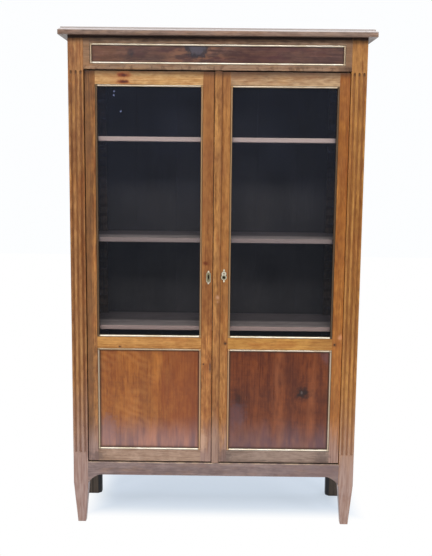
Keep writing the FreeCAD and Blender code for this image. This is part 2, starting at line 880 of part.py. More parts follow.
def door(lock_edge_x, lock_stile_width, stile_cuts, peg_holes):
    """Every piece of a door with its hinge on the right and its lock edge at lock_edge_x."""
    x0 = lock_edge_x + lock_stile_width
    x1 = hinge_edge_x - hinge_stile_width
    rebate = glass_space(x0, x1, glazing_rebate, glass_front_y, door_back_y + overrun)
    groove = panel_space(x0, x1, panel_groove)
    tenons = {name: door_tenons(x0, x1, level) for name, level in door_rail_levels.items()}
    mortises = [tenon for pair in tenons.values() for tenon in pair]
    sockets = door_sockets()
    screws = pivot_screws(door_bottom, screw_length) + pivot_screws(door_top, -screw_length)
    ends = [door_bottom, door_top]
    hinge_stile = box(x1, hinge_edge_x, door_front_y, door_back_y, door_bottom, door_top)
    hinge_stile = eased(hinge_stile, arris_round, [hinge_edge_x], ends)
    lock_stile = box(lock_edge_x, x0, door_front_y, door_back_y, door_bottom, door_top)
    lock_stile = eased(lock_stile, arris_round, [], ends)
    pieces = {
        "hinge_stile": [hinge_stile.cut([rebate, groove] + mortises + sockets + screws + peg_holes)],
        "lock_stile": [lock_stile.cut([rebate, groove] + mortises + stile_cuts + peg_holes)],
    }
    for name, level in door_rail_levels.items():
        rail = box(x0, x1, door_front_y, door_back_y, level[0], level[1])
        outer_edges = [end for end in ends if end in level]
        if outer_edges:
            rail = eased(rail, arris_round, [], outer_edges)
        rail = join(rail.cut([rebate, groove]), tenons[name])
        pieces[name] = [rail.cut(peg_holes)] if peg_holes else [rail]
    pieces["glass"] = [glass_space(x0, x1, glazing_rebate - glass_play, glass_front_y, glass_back_y)]
    pieces["glazing_beads"] = glazing_beads(x0, x1)
    pieces["panel"] = [panel_space(x0, x1, panel_groove - panel_play)]
    crest_y = door_front_y - fillet_proud
    for name, opening, seat_y in (
            ("glass_fillet", door_openings[0], glass_front_y),
            ("panel_fillet", door_openings[1], panel_front_y)):
        pieces[name] = fillet_frame(x0, x1, opening[0], opening[1], seat_y, door_fillet_width, crest_y)
    pieces["pivot_sockets"] = [socket.cut(pivot_bores() + screws) for socket in sockets]
    pieces["screws"] = screws
    return pieces


# Closing strip and keyhole plates

left_leaf_edge = meeting_line - leaf_gap / 2
right_leaf_edge = meeting_line + leaf_gap / 2
keyhole_z = right_plate_z - right_plate_lobe_spacing / 2


def closing_strip():
    """Moulded strip along the lock edge of the right door, rounder towards the lock."""
    low = bottom_rail_top + strip_end_gap
    high = frieze_bottom - strip_end_gap
    bar = box(
        right_leaf_edge, right_leaf_edge + strip_width,
        door_front_y - strip_thickness, door_front_y, low, high)
    for x, radius in (
            (right_leaf_edge, strip_edge_round),
            (right_leaf_edge + strip_width, strip_face_round)):
        arris = [
            edge for edge in bar.Edges
            if edge.BoundBox.ZLength > strip_width
            and abs(edge.CenterOfMass.x - x) < overrun / 10
            and edge.CenterOfMass.y < door_front_y - strip_thickness / 2]
        bar = bar.makeFillet(radius, arris)
    return bar


plate_front_y = door_front_y - plate_thickness
plate_floor_y = plate_front_y + plate_sunk


def keyhole(x, z, slot_length, depth):
    """Round-headed keyhole cut from the door's face to a depth."""
    start_y = plate_front_y - overrun
    through = Vector(0, depth + plate_thickness + overrun, 0)
    eye = rod(keyhole_radius, Vector(x, start_y, z), through)
    half_slot = keyhole_slot_width / 2
    slot = box(x - half_slot, x + half_slot, start_y, start_y + through.y, z - slot_length, z)
    return join(eye, [slot])


def left_keyhole(depth):
    """False keyhole of the left door, sunk a little into the wood."""
    return keyhole(left_plate_x, left_plate_z + left_slot_length / 2, left_slot_length, depth)


def right_keyhole(depth):
    """Keyhole of the right door, where the lock is."""
    return keyhole(right_plate_x, keyhole_z, right_slot_length, depth)


def bead(x, z):
    """Turned bead at the head or foot of a keyhole plate."""
    return Part.makeSphere(plate_bead_radius, Vector(x, door_front_y, z), Vector(0, -1, 0), 0, 90)


def round_ended(x, z, height, width, y0, y1):
    """Upright bar with round ends between two depths."""
    half = width / 2
    reach = height / 2 - half
    through = Vector(0, y1 - y0, 0)
    ends = [rod(half, Vector(x, y0, level), through) for level in (z - reach, z + reach)]
    return join(box(x - half, x + half, y0, y1, z - reach, z + reach), ends)


def left_keyhole_plate():
    """Slim round-ended plate with a bead at each end and a keyhole inside its rim."""
    x = left_plate_x
    z = left_plate_z
    reach = left_plate_height / 2 + left_bead_reach
    plate = round_ended(x, z, left_plate_height, left_plate_width, plate_front_y, door_front_y)
    plate = join(plate, [bead(x, z - reach), bead(x, z + reach)])
    sunk = round_ended(
        x, z, left_plate_height - 2 * plate_rim, left_plate_width - 2 * plate_rim,
        plate_front_y - overrun, plate_floor_y)
    return plate.cut([sunk, left_keyhole(0)])


def right_keyhole_plate():
    """Round lobe with the keyhole inside its rim, a smaller lobe above, and beads on short necks."""
    x = right_plate_x
    upper_z = keyhole_z + right_plate_lobe_spacing
    foot = keyhole_z - right_plate_lower_radius - right_bead_reach
    head = upper_z + right_plate_upper_radius + right_bead_reach
    front = Vector(0, -plate_thickness, 0)
    lower = rod(right_plate_lower_radius, Vector(x, door_front_y, keyhole_z), front)
    upper = rod(right_plate_upper_radius, Vector(x, door_front_y, upper_z), front)
    half_neck = plate_neck_width / 2
    neck = box(x - half_neck, x + half_neck, plate_front_y, door_front_y, foot, head)
    plate = join(lower, [upper, neck, bead(x, foot), bead(x, head)])
    sunk = rod(
        right_plate_lower_radius - plate_rim, Vector(x, plate_front_y - overrun, keyhole_z),
        Vector(0, plate_sunk + overrun, 0))
    hole = round_ended(
        x, upper_z, right_plate_hole_height, right_plate_hole_width, plate_front_y - overrun, door_front_y)
    return plate.cut([sunk, hole, right_keyhole(0)])


# Lock, keeper and surface bolts

lock_x = right_leaf_edge + lock_edge_gap
keeper_x = left_leaf_edge - lock_edge_gap
lock_back_y = door_back_y + lock_thickness
lock_bolt_y = door_back_y + (lock_thickness - lock_bolt_thickness) / 2


def lock_bolt_space(x0, x1, play):
    """Space of the lock bolt between two ends, wider by some play."""
    return box(
        x0, x1, lock_bolt_y - play, lock_bolt_y + lock_bolt_thickness + play,
        lock_z - lock_bolt_height / 2 - play, lock_z + lock_bolt_height / 2 + play)


def lock_screws():
    """Four screws through the corners of the lock."""
    xs = (lock_x + lock_screw_inset, lock_x + lock_width - lock_screw_inset)
    half = lock_height / 2 - lock_screw_inset
    return [
        screw(Vector(x, lock_back_y, z), Vector(0, -lock_screw_length, 0))
        for x in xs for z in (lock_z - half, lock_z + half)]


def lock_case(screws):
    """Iron case of the lock, with a channel for its bolt and a hole for the key."""
    case = box(
        lock_x, lock_x + lock_width, door_back_y, lock_back_y,
        lock_z - lock_height / 2, lock_z + lock_height / 2)
    channel = lock_bolt_space(lock_x - overrun, lock_x + lock_bolt_length + lock_wall, lock_bolt_play)
    return case.cut([channel, right_keyhole(door_thickness + lock_wall)] + screws)


def lock_bolt():
    """Sliding bolt, drawn back flush with the case."""
    return lock_bolt_space(lock_x, lock_x + lock_bolt_length, 0)


def keeper_screws():
    """Two screws through the keeper, above and below its slot."""
    half = keeper_height / 2 - lock_screw_inset
    x = keeper_x - keeper_width / 2
    return [
        screw(Vector(x, lock_back_y, z), Vector(0, -lock_screw_length, 0))
        for z in (lock_z - half, lock_z + half)]


def lock_keeper(screws):
    """Block on the back of the left door that takes the lock bolt."""
    block = box(
        keeper_x - keeper_width, keeper_x, door_back_y, lock_back_y,
        lock_z - keeper_height / 2, lock_z + keeper_height / 2)
    reach = lock_x - lock_bolt_travel - keeper_play
    return block.cut([lock_bolt_space(reach, keeper_x + overrun, keeper_play)] + screws)


bolt_x = left_leaf_edge - bolt_edge_inset
top_bolt_end = top_stop_bottom - bolt_end_gap
bottom_bolt_end = board_top + bolt_end_gap


def surface_bolt(end_z, direction):
    """Round bolt with a knob, drawn back; direction is 1 for the upper bolt and -1 for the lower."""
    shaft = rod(bolt_radius, Vector(bolt_x, bolt_y, end_z), Vector(0, 0, -direction * bolt_length))
    knob = rod(
        bolt_knob_radius, Vector(bolt_x, bolt_y, end_z - direction * bolt_length / 2),
        Vector(0, bolt_knob_length, 0))
    return join(shaft, [knob])


def bolt_hole(level, direction):
    """Hole that the end of a surface bolt goes into."""
    depth = bolt_travel - bolt_end_gap + bolt_end_gap / 2
    return rod(bolt_radius + bolt_hole_play, Vector(bolt_x, bolt_y, level), Vector(0, 0, direction * depth))


def bolt_plate_screws(end_z, direction):
    """Two screws through a bolt's plate, under the bolt's path but clear of its guides."""
    start = end_z - direction * (bolt_plate_margin + bolt_guide_height)
    far = end_z - direction * (bolt_length - bolt_plate_margin - bolt_guide_height)
    offset = bolt_plate_width / 2 - screw_head_radius - bolt_plate_thickness / 2
    face = door_back_y + bolt_plate_thickness
    places = ((-1, start - direction * bolt_plate_margin), (1, far + direction * bolt_plate_margin))
    return [
        screw(Vector(bolt_x + side * offset, face, z), Vector(0, -screw_length, 0)) for side, z in places]


def bolt_plate(end_z, direction, screws):
    """Plate on the back of the left door with two guides for a surface bolt."""
    inset = bolt_plate_margin / 2
    ends = sorted((end_z - direction * inset, end_z - direction * (bolt_length - inset)))
    face = door_back_y + bolt_plate_thickness
    plate = box(
        bolt_x - bolt_plate_width / 2, bolt_x + bolt_plate_width / 2, door_back_y, face, ends[0], ends[1])
    outer = bolt_y + bolt_radius + bolt_guide_wall
    half = bolt_guide_width / 2
    guides = [
        box(bolt_x - half, bolt_x + half, door_back_y, outer, z, z + bolt_guide_height)
        for z in (ends[0] + inset, ends[1] - inset - bolt_guide_height)]
    path = rod(
        bolt_radius + bolt_play, Vector(bolt_x, bolt_y, ends[0] - overrun),
        Vector(0, 0, ends[1] - ends[0] + overrun + overrun))
    return join(plate, guides).cut([path] + screws)


def pegs(lock_edge_x, lock_stile_width, play):
    """Pegs through the joints of the right door's middle rail."""
    level = door_rail_levels["middle_rail"]
    z = (level[0] + level[1]) / 2
    radius = peg_radius + play
    xs = (lock_edge_x + lock_stile_width - peg_inset, hinge_edge_x - hinge_stile_width + peg_inset)
    return [
        rod(radius, Vector(x, door_front_y - peg_proud, z), Vector(0, peg_depth + peg_proud, 0)) for x in xs]


def save_carcase():
    """Write the fixed body of the bookcase."""
    pivots = carcase_pivots()
    lower_screws = pivot_screws(bottom_rail_top, -screw_length)
    upper_screws = pivot_screws(frieze_bottom, screw_length)
    fixings = rack_screws()
    right_screws = lower_screws + upper_screws + fixings
    lower_cuts = [pivots[0], flip(pivots[0])]
    upper_cuts = [pivots[1], flip(pivots[1])]
    front = front_post(fixings)
    rear = rear_post(fixings)
    rails = side_rails()
    panels = [side_groove(level, panel_groove - panel_play) for level in side_openings]
    save("front_right_post", front)
    save("front_left_post", flip(front))
    save("rear_right_post", rear)
    save("rear_left_post", flip(rear))
    save("frieze_frame", *frieze_frame(upper_cuts, upper_screws + mirrored(upper_screws)))
    save("frieze_panel", frieze_groove(panel_groove - panel_play))
    save("frieze_fillet", *fillet_frame(
        -frieze_opening_x, frieze_opening_x, frieze_opening_bottom, frieze_opening_top,
        frieze_panel_y, frieze_fillet_width, front_y - fillet_proud))
    save("front_bottom_rail", front_bottom_rail(lower_cuts, lower_screws + mirrored(lower_screws)))
    save("right_side_rails", *rails)
    save("left_side_rails", *mirrored(rails))
    save("side_panels", *panels, *mirrored(panels))
    save("back_rails", *back_rails())
    save("back_boards", *back_boards())
    save("bottom_board", bottom_board(bolt_hole(board_top, -1)))
    save("bottom_bearers", *bottom_bearers())
    save("top_board", top_board())
    save("cornice_front", cornice_front())
    save("cornice_returns", cornice_return(), flip(cornice_return()))
    save("door_stops", *door_stops(bolt_hole(top_stop_bottom, 1)))
    save("shelf_racks", *shelf_racks(fixings))
    save("shelf_cleats", *shelf_cleats())
    save("lower_shelf", shelf(lower_shelf_step))
    save("middle_shelf", shelf(middle_shelf_step))
    save("upper_shelf", shelf(upper_shelf_step))
    plates = [pivots[0].cut(lower_screws), pivots[1].cut(upper_screws)]
    save("pivot_plates", *plates, *mirrored(plates))
    save("carcase_screws", *right_screws, *mirrored(right_screws))


def save_left_door():
    """Write the left door with its keeper and bolts."""
    top_screws = bolt_plate_screws(top_bolt_end, 1)
    bottom_screws = bolt_plate_screws(bottom_bolt_end, -1)
    catch_screws = keeper_screws()
    fixings = top_screws + bottom_screws + catch_screws
    cuts = mirrored(fixings + [left_keyhole(left_keyhole_depth)])
    pieces = door(-left_leaf_edge, left_lock_stile_width, cuts, [])
    fixings += mirrored(pieces.pop("screws"))
    for name, solids in pieces.items():
        save("left_door_" + name, *mirrored(solids))
    save("left_door_screws", *fixings)
    save("left_keyhole_plate", left_keyhole_plate())
    save("lock_keeper", lock_keeper(catch_screws))
    save(
        "bolt_plates", bolt_plate(top_bolt_end, 1, top_screws),
        bolt_plate(bottom_bolt_end, -1, bottom_screws))
    save("top_bolt", surface_bolt(top_bolt_end, 1))
    save("bottom_bolt", surface_bolt(bottom_bolt_end, -1))


def save_right_door():
    """Write the right door with its closing strip and lock."""
    fixings = lock_screws()
    holes = pegs(right_leaf_edge, right_lock_stile_width, peg_play)
    cuts = fixings + [right_keyhole(door_thickness + overrun)]
    pieces = door(right_leaf_edge, right_lock_stile_width, cuts, holes)
    hinge_screws = pieces.pop("screws")
    for name, solids in pieces.items():
        save("right_door_" + name, *solids)
    save("right_door_screws", *fixings, *hinge_screws)
    save("right_door_pegs", *pegs(right_leaf_edge, right_lock_stile_width, 0))
    save("closing_strip", closing_strip())
    save("right_keyhole_plate", right_keyhole_plate())
    save("lock_case", lock_case(fixings))
    save("lock_bolt", lock_bolt())


os.makedirs("parts", exist_ok=True)
save_carcase()
save_left_door()
save_right_door()
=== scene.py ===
import math

import bmesh
import bpy
from mathutils import Matrix, Vector


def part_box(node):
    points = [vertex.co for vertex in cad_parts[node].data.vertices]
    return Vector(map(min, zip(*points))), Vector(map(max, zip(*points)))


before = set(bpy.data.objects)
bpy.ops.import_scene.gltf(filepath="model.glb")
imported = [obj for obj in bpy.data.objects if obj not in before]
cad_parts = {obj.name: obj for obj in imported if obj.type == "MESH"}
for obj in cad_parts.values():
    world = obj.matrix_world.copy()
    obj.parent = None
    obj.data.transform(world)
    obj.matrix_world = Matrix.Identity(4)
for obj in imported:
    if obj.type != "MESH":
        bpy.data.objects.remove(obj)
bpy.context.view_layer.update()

# Front posts: two square uprights of fruitwood with three stopped flutes down the face of each.
# They run the whole height and taper to slim feet, and near the floor they are paler and greyer, a painted
# reflection of the white floor.


class Tone:
    """One socket in a finish. Sums of tones add Math nodes, and node() adds any other kind."""

    def __init__(self, tree, socket=None):
        self.tree = tree
        self.socket = socket

    def node(self, kind, settings=None, inputs=None, output=0):
        """A node of this kind with its settings made first, then its values or links."""
        made = self.tree.nodes.new("ShaderNode" + kind)
        for name, value in (settings or {}).items():
            setattr(made, name, value)
        for name, value in (inputs or {}).items():
            if isinstance(value, Tone):
                self.tree.links.new(value.socket, made.inputs[name])
            else:
                made.inputs[name].default_value = value
        return Tone(self.tree, made.outputs[output])

    def math(self, operation, first, second=0.0):
        """One Math node on two numbers or tones."""
        return self.node("Math", {"operation": operation}, {0: first, 1: second})

    def __add__(self, other):
        return self.math("ADD", self, other)

    def __sub__(self, other):
        return self.math("SUBTRACT", self, other)

    def __rsub__(self, other):
        return self.math("SUBTRACT", other, self)

    def __mul__(self, other):
        return self.math("MULTIPLY", self, other)

    def __pow__(self, other):
        return self.math("POWER", self, other)

    def __abs__(self):
        return self.math("ABSOLUTE", self)

    __radd__ = __add__
    __rmul__ = __mul__

    def ease(self, low, high):
        """Soft step from 0 at low to 1 at high."""
        return self.node(
            "MapRange", {"interpolation_type": "SMOOTHSTEP"},
            {"Value": self, "From Min": low, "From Max": high})

    def fade(self, low, high):
        """Soft step from 1 at low to 0 at high."""
        return 1 - self.ease(low, high)

    def mix(self, under, over, share=None):
        """Two colours, the second where this mask is 1, or only a share of it there."""
        mask = self if share is None else self * share
        # A Mix node takes its two colours at sockets 6 and 7 and gives the mixed one at 2.
        return self.node("Mix", {"data_type": "RGBA"}, {0: mask, 6: under, 7: over}, 2)

    def part(self, axis):
        """One coordinate of a place."""
        return self.node("SeparateXYZ", {}, {0: self}, axis)

    def cloud(self, across, lengthwise, detail):
        """Cloudy pattern on a place, with so many clouds to a metre across and along it."""
        drawn = self.node(
            "VectorMath", {"operation": "MULTIPLY"}, {0: self, 1: (across, across, lengthwise)})
        return self.node("TexNoise", {}, {"Vector": drawn, "Scale": 1.0, "Detail": detail, "Roughness": 0.6})

    def patches(self, across, lengthwise, detail, low, high):
        """Soft patches: 0 where the clouds are below the low level, and 1 above the high one."""
        return self.cloud(across, lengthwise, detail).ease(low, high)

    def waver(self, across, lengthwise, detail, width):
        """Uneven shift for an edge: clouds that swing over this width, and are 0 on average."""
        return (self.cloud(across, lengthwise, detail) - 0.5) * width

    def spot(self, x, z, width, height, rough=0.3):
        """Ragged round mark on a front face: 1 in its middle and 0 at its rim."""
        away = (self.part("X") - x) * (2 / width)
        up = (self.part("Z") - z) * (2 / height)
        reach = (away * away + up * up) ** 0.5
        return (reach + self.waver(60, 60, 2.0, 4 * rough)).fade(0.25, 1.0)


def paint(red, green, blue):
    """Colour for a shader from the usual 0 to 255 values, by the screen's own curve."""
    shares = [value / 255 for value in (red, green, blue)]
    return [s / 12.92 if s < 0.04045 else ((s + 0.055) / 1.055) ** 2.4 for s in shares] + [1.0]


def new_finish(name):
    """Empty finish: its material, its shader, and the place on the piece."""
    material = bpy.data.materials.new(name)
    material.use_nodes = True
    shader = material.node_tree.nodes["Principled BSDF"]
    place = Tone(material.node_tree).node("TexCoord", output="Object")
    return material, shader, place


def feed(shader, **tones):
    """Links tones to a shader's sockets, and sets plain values on them."""
    for name, value in tones.items():
        socket = shader.inputs[name.replace("_", " ")]
        if isinstance(value, Tone):
            value.tree.links.new(value.socket, socket)
        else:
            socket.default_value = value


def open_air(place, reach, samples):
    """1 on open faces, and less in nooks that are narrower than the reach."""
    return place.node("AmbientOcclusion", {"samples": samples}, {"Distance": reach}, "AO")


grain_turns = {"X": (0, -math.pi / 2, 0), "Y": (math.pi / 2, 0, 0), "Z": (0, 0, 0)}
plank_step = (0.37, 0.71, 1.3)
ring_turns = 260
band_depth = 1.5
streak_depth = 1.1
fibre_depth = 0.5
ring_depth = 0.07
mottle_depth = 1.2
arris_round = 0.0015
pore_depth = 0.0006
open_reach = 0.03
nook_reach = 0.007
wood_rays = 6
streak_sheen = 0.2
blotch_sheen = 0.12
# Dark colour for pores and seams, and for the painted shade in nooks and at the tops of the flutes.
grime_and_shade = paint(38, 26, 20)
flame = paint(176, 92, 40)
gold = paint(214, 152, 78)


def wood(
        name, along, tones, plank, marks=None, roughness=0.42, wax=0.12, wear_and_highlight=0.35, figure=1.2,
        warmth=0.22, dirt=0.5):
    """Waxed wood: bands, mottle, streaks and pores along the grain, arrises paler from use and painted
    highlight, and nooks darker from dirt and painted shade.
    """
    material, shader, place = new_finish(name)
    dark, light = tones
    grain = place.node("Mapping", {}, {
        "Vector": place, "Rotation": grain_turns[along], "Location": [step * plank for step in plank_step]})
    rings = place.math("SINE", grain.cloud(8, 0.6, 1.0) * ring_turns)
    streaks = grain.cloud(170, 4, 4.0)
    fibres = grain.cloud(900, 16, 2.0)
    pores = grain.patches(620, 26, 1.0, low=0.60, high=0.72)
    lines = grain.waver(18, 0.9, 3.0, width=band_depth) + (streaks - 0.5) * streak_depth
    lines = lines + (fibres - 0.5) * fibre_depth + rings * ring_depth
    lines = lines + grain.waver(75, 30, 4.0, width=mottle_depth)
    colour = (lines * figure + 0.5).ease(0.0, 1.0).mix(dark, light)
    blotches = place.patches(7, 7, 3.0, low=0.38, high=0.72)
    colour = blotches.mix(colour, dark, share=0.4)
    colour = grain.patches(26, 7, 4.0, low=0.46, high=0.70).mix(colour, flame, share=warmth)
    colour = grain.patches(41, 11, 3.0, low=0.50, high=0.70).mix(colour, gold, share=warmth)
    colour = (pores * 0.45).mix(colour, grime_and_shade, share=figure)
    if marks:
        colour = marks(colour, place)
    rounded = place.node("Bevel", {"samples": 4}, {"Radius": arris_round})
    turned = place.node(
        "VectorMath", {"operation": "DOT_PRODUCT"},
        {0: rounded, 1: place.node("NewGeometry", output="Normal")}, "Value")
    corner = (1 - turned).ease(0.0, 0.25)
    open_side = open_air(place, open_reach, wood_rays)
    nook = open_air(place, nook_reach, wood_rays).fade(0.35, 0.85)
    # Paler arrises: partly from use, partly a painted highlight.
    light_marks = corner * open_side * place.patches(30, 30, 3.0, low=0.35, high=0.65)
    colour = light_marks.mix(colour, light, share=wear_and_highlight)
    # Ambient occlusion darkens nooks and faces near other parts by the share dirt: partly dirt, partly
    # painted shade.
    colour = open_side.fade(0.15, 0.8).mix(colour, grime_and_shade, share=dirt)
    colour = nook.mix(colour, grime_and_shade, share=dirt)
    height = fibres * 0.5 + streaks * 0.5 - pores
    bump = place.node(
        "Bump", {}, {"Strength": 0.25, "Distance": pore_depth, "Height": height, "Normal": rounded})
    smoothest = roughness - (streak_sheen + blotch_sheen) / 2
    sheen = streaks * streak_sheen + blotches * blotch_sheen + smoothest
    feed(
        shader, Base_Color=colour, Roughness=sheen, Normal=bump, Coat_Weight=wax, Coat_Roughness=0.3,
        Specular_IOR_Level=0.35)
    return material


def dress(finish, *names):
    """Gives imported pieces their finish."""
    for name in names:
        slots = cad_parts[name].data.materials
        slots.clear()
        slots.append(finish)


reflection_tones = (paint(146, 115, 104), paint(174, 147, 136))


def floor_reflection(low, high, share=0.85, tones=reflection_tones):
    """Painted reflection of the white floor: paler and greyer below a height, in streaks."""
    def marks(colour, place):
        ragged = place.part("Z") + place.waver(20, 3, 3.0, width=0.25)
        streaky = place.patches(150, 7, 4.0, low=0.36, high=0.64).mix(*tones)
        return ragged.fade(low, high).mix(colour, streaky, share)
    return marks


post_low, post_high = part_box("front_right_post")
# Painted shade under the cornice: its colour, and how far down it reaches.
cornice_shade = paint(36, 24, 21)
cornice_shade_reach = (0.010, 0.036)
cornice_shade_line = (0.007, 0.013)


def shade_under_cornice(colour, place):
    """Painted shade, with some dirt, right under the cornice."""
    below = post_high.z - place.part("Z") + place.waver(40, 8, 2.0, width=0.005)
    colour = below.fade(*cornice_shade_reach).mix(colour, cornice_shade, share=0.42)
    return below.fade(*cornice_shade_line).mix(colour, cornice_shade, share=0.85)


post_middle = (post_low.x + post_high.x) / 2
post_brown = paint(118, 66, 30)
browned_height = (1.05, 1.65)
soft_edge = 0.001
soft_end = 0.01
flutes_reach = 0.025
flutes_foot = 0.29
flutes_head = 1.834
flute_sides = (flutes_reach - soft_edge, flutes_reach)
shaded_flute_heads = (flutes_head - 0.008, flutes_head - 0.004)
flute_shade_depth = (0.0034, 0.0047)
head_shade_depth = (0.001, 0.003)


def post_marks(foot_reflection, flute_polish_and_shade, browning):
    """Darker flutes from old polish and painted shade, painted shade at their tops and under the cornice,
    browner wood lower down, and a paler, greyer foot, a painted reflection of the floor.
    """
    def marks(colour, place):
        height = place.part("Z")
        colour = height.fade(*browned_height).mix(colour, post_brown, share=browning)
        colour = foot_reflection(colour, place)
        beside = abs(abs(place.part("X")) - post_middle)
        inside = height.ease(flutes_foot, flutes_foot + soft_end) - beside.ease(*flute_sides)
        depth = place.part("Y") - post_low.y
        # Painted shade and old polish down the flutes, then painted shade at their tops.
        colour = (inside * depth.ease(*flute_shade_depth)).mix(colour, flute_polish_and_shade, share=0.65)
        shaded_heads = inside * height.ease(*shaded_flute_heads)
        colour = (shaded_heads * depth.ease(*head_shade_depth)).mix(colour, grime_and_shade, share=0.5)
        return shade_under_cornice(colour, place)
    return marks


left_post_tones = (paint(130, 80, 42), paint(210, 154, 94))
left_flute_shade = paint(112, 66, 34)
left_post_marks = post_marks(floor_reflection(low=0.22, high=0.66), left_flute_shade, browning=0.35)
dress(
    wood("left_post_wood", "Z", left_post_tones, plank=1, marks=left_post_marks, figure=1.0, dirt=0.12),
    "front_left_post")

right_post_tones = (paint(132, 78, 30), paint(210, 150, 78))
right_flute_shade = paint(128, 76, 36)
usual_marks = post_marks(floor_reflection(low=0.18, high=0.62), right_flute_shade, browning=0.05)
brown_patch = (post_middle, 0.86, 0.16, 0.24)
# Painted light on the side face that looks into the door gap.
gap_face_light = paint(226, 160, 92)
gap_face = (post_low.x + 0.0003, post_low.x + 0.001)


def right_post_marks(colour, place):
    """The usual marks of a post, a brown patch beside the glass, and painted light on the side face by the
    door.
    """
    colour = place.spot(*brown_patch).mix(colour, post_brown, share=0.25)
    return place.part("X").fade(*gap_face).mix(usual_marks(colour, place), gap_face_light)


dress(
    wood(
        "right_post_wood", "Z", right_post_tones, plank=2, marks=right_post_marks, figure=0.8,
        warmth=0.15, dirt=0.0),
    "front_right_post")

# Rear posts: plain uprights of the same wood at the back corners, rebated for the back boards.
# Their outer sides match the case; the rest was stained dark, with chamfered arrises on the feet.
rear_low, rear_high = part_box("rear_right_post")
rear_tones = (paint(104, 66, 42), paint(166, 114, 74))
rear_foot = floor_reflection(low=0.10, high=0.45)
stain_tones = (paint(58, 48, 39), paint(100, 85, 70))
stain_edge = 0.003
chamfer_black = paint(30, 29, 31)
chamfer_width = 0.014
chamfer_top = 0.225


def rear_marks(colour, place):
    """Dark stain on all but the outer sides, and black on the chamfers below the case."""
    across = abs(place.part("X"))
    outer = place.math(
        "MAXIMUM", across.ease(rear_high.x - stain_edge, rear_high.x - soft_edge),
        place.part("Y").ease(rear_high.y - stain_edge, rear_high.y - soft_edge))
    stain = place.patches(170, 4, 4.0, low=0.3, high=0.7).mix(*stain_tones)
    colour = (1 - outer).mix(rear_foot(colour, place), stain)
    edge = rear_low.x + chamfer_width
    chamfer = across.fade(edge - soft_edge, edge + soft_edge)
    below = place.part("Z").fade(chamfer_top, chamfer_top + soft_end)
    return (chamfer * below).mix(colour, chamfer_black, share=0.85)


rear_wood = wood(
    "rear_post_wood", "Z", rear_tones, plank=3, marks=rear_marks, roughness=0.55, wax=0.0, wear_and_highlight=0.2,
    warmth=0.15)
dress(rear_wood, "rear_left_post", "rear_right_post")

# Sides: two panels a side in grooved rails, which are tenoned into the front and rear posts.
# All of fruitwood, with the rails' grain running to the back and the panels' running up.
side_rail_tones = (paint(112, 70, 42), paint(176, 120, 76))
side_panel_tones = (paint(104, 58, 34), paint(168, 106, 64))
dress(
    wood("side_rail_wood", "Y", side_rail_tones, plank=4, marks=floor_reflection(low=0.2, high=0.5)),
    "left_side_rails", "right_side_rails")
dress(
    wood("side_panel_wood", "Z", side_panel_tones, plank=5, marks=floor_reflection(low=0.25, high=0.5, share=0.5)),
    "side_panels")

# Front bottom rail: one board under the doors, tenoned between the posts.
# A small hollow bracket is cut from the same board at each end; its colour has gone grey.
rail_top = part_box("front_bottom_rail")[1].z
rail_tones = (paint(112, 91, 86), paint(158, 134, 124))
rail_grey = paint(104, 86, 86)
grey_end = (0.12, 0.45)
arris_highlight = paint(212, 182, 148)
highlight_arris = (rail_top - 0.0035, rail_top - 0.0015)


def rail_marks(colour, place):
    """Darker right end, and a patchy painted highlight along the upper arris."""
    colour = place.part("X").ease(*grey_end).mix(colour, rail_grey, share=0.42)
    painted_light = place.part("Z").ease(*highlight_arris) * place.patches(24, 60, 3.0, low=0.35, high=0.7)
    return painted_light.mix(colour, arris_highlight, share=0.8)


dress(
    wood("bottom_rail_wood", "X", rail_tones, plank=6, marks=rail_marks, figure=1.0, warmth=0.1),
    "front_bottom_rail")

# Frieze: a long dark figured panel in a frame of rails and short stiles above the doors.
# Half-round brass strips, mitred at the corners, line the frame and keep the panel in.
frieze_low, frieze_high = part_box("frieze_frame")
frieze_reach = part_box("frieze_fillet")[1].x
frieze_tones = (paint(104, 75, 53), paint(166, 132, 103))
short_stile = paint(160, 116, 78)
short_stile_edge = (frieze_reach, frieze_reach + 0.004)
dark_corner = (0.497, 1.850, 0.12, 0.044)
end_seams = (frieze_high.x - 0.0045, frieze_high.x - 0.0015)
greasy_edge = (frieze_low.z + 0.008, frieze_low.z + 0.022)
packed_polish = paint(66, 38, 22)


def frieze_marks(colour, place):
    """Paler short stiles, a dark right end, dark seams, painted shade under the cornice, and greasy patches
    along the lower rail.
    """
    across = place.part("X")
    colour = abs(across).ease(*short_stile_edge).mix(colour, short_stile, share=0.5)
    colour = across.ease(*short_stile_edge).mix(colour, packed_polish, share=0.22)
    colour = place.spot(*dark_corner).mix(colour, packed_polish, share=0.55)
    colour = abs(across).ease(*end_seams).mix(colour, grime_and_shade, share=0.7)
    darkened = place.part("Z").fade(*greasy_edge) * place.patches(60, 40, 3.0, low=0.50, high=0.62)
    return shade_under_cornice(darkened.mix(colour, packed_polish, share=0.5), place)


dress(wood("frieze_frame_wood", "X", frieze_tones, plank=7, marks=frieze_marks, warmth=0.15), "frieze_frame")

frieze_panel_tones = (paint(74, 48, 41), paint(128, 92, 78))
plum_brown = paint(84, 48, 46)
plum_side = (-0.1, 0.3)
plum_dark = paint(66, 30, 28)
plum_cloud = (0.13, 1.90, 0.24, 0.30)
rust_brown = paint(156, 106, 74)
rusty_end = (-0.43, 1.90, 0.20, 0.30)
rust_reach = (0.06, 0.16)
crotch_dark = paint(40, 37, 45)
crotch_knot = (-0.334, 1.908, 0.034, 0.036)
crotch_grey = paint(86, 80, 88)
wedge_x = -0.079
wedge_foot = 1.893
wedge_half = 0.028
wedge_spread = 0.45
wedge_rim = (-0.007, 0.006)
wedge_core = (0.008, 0.024)


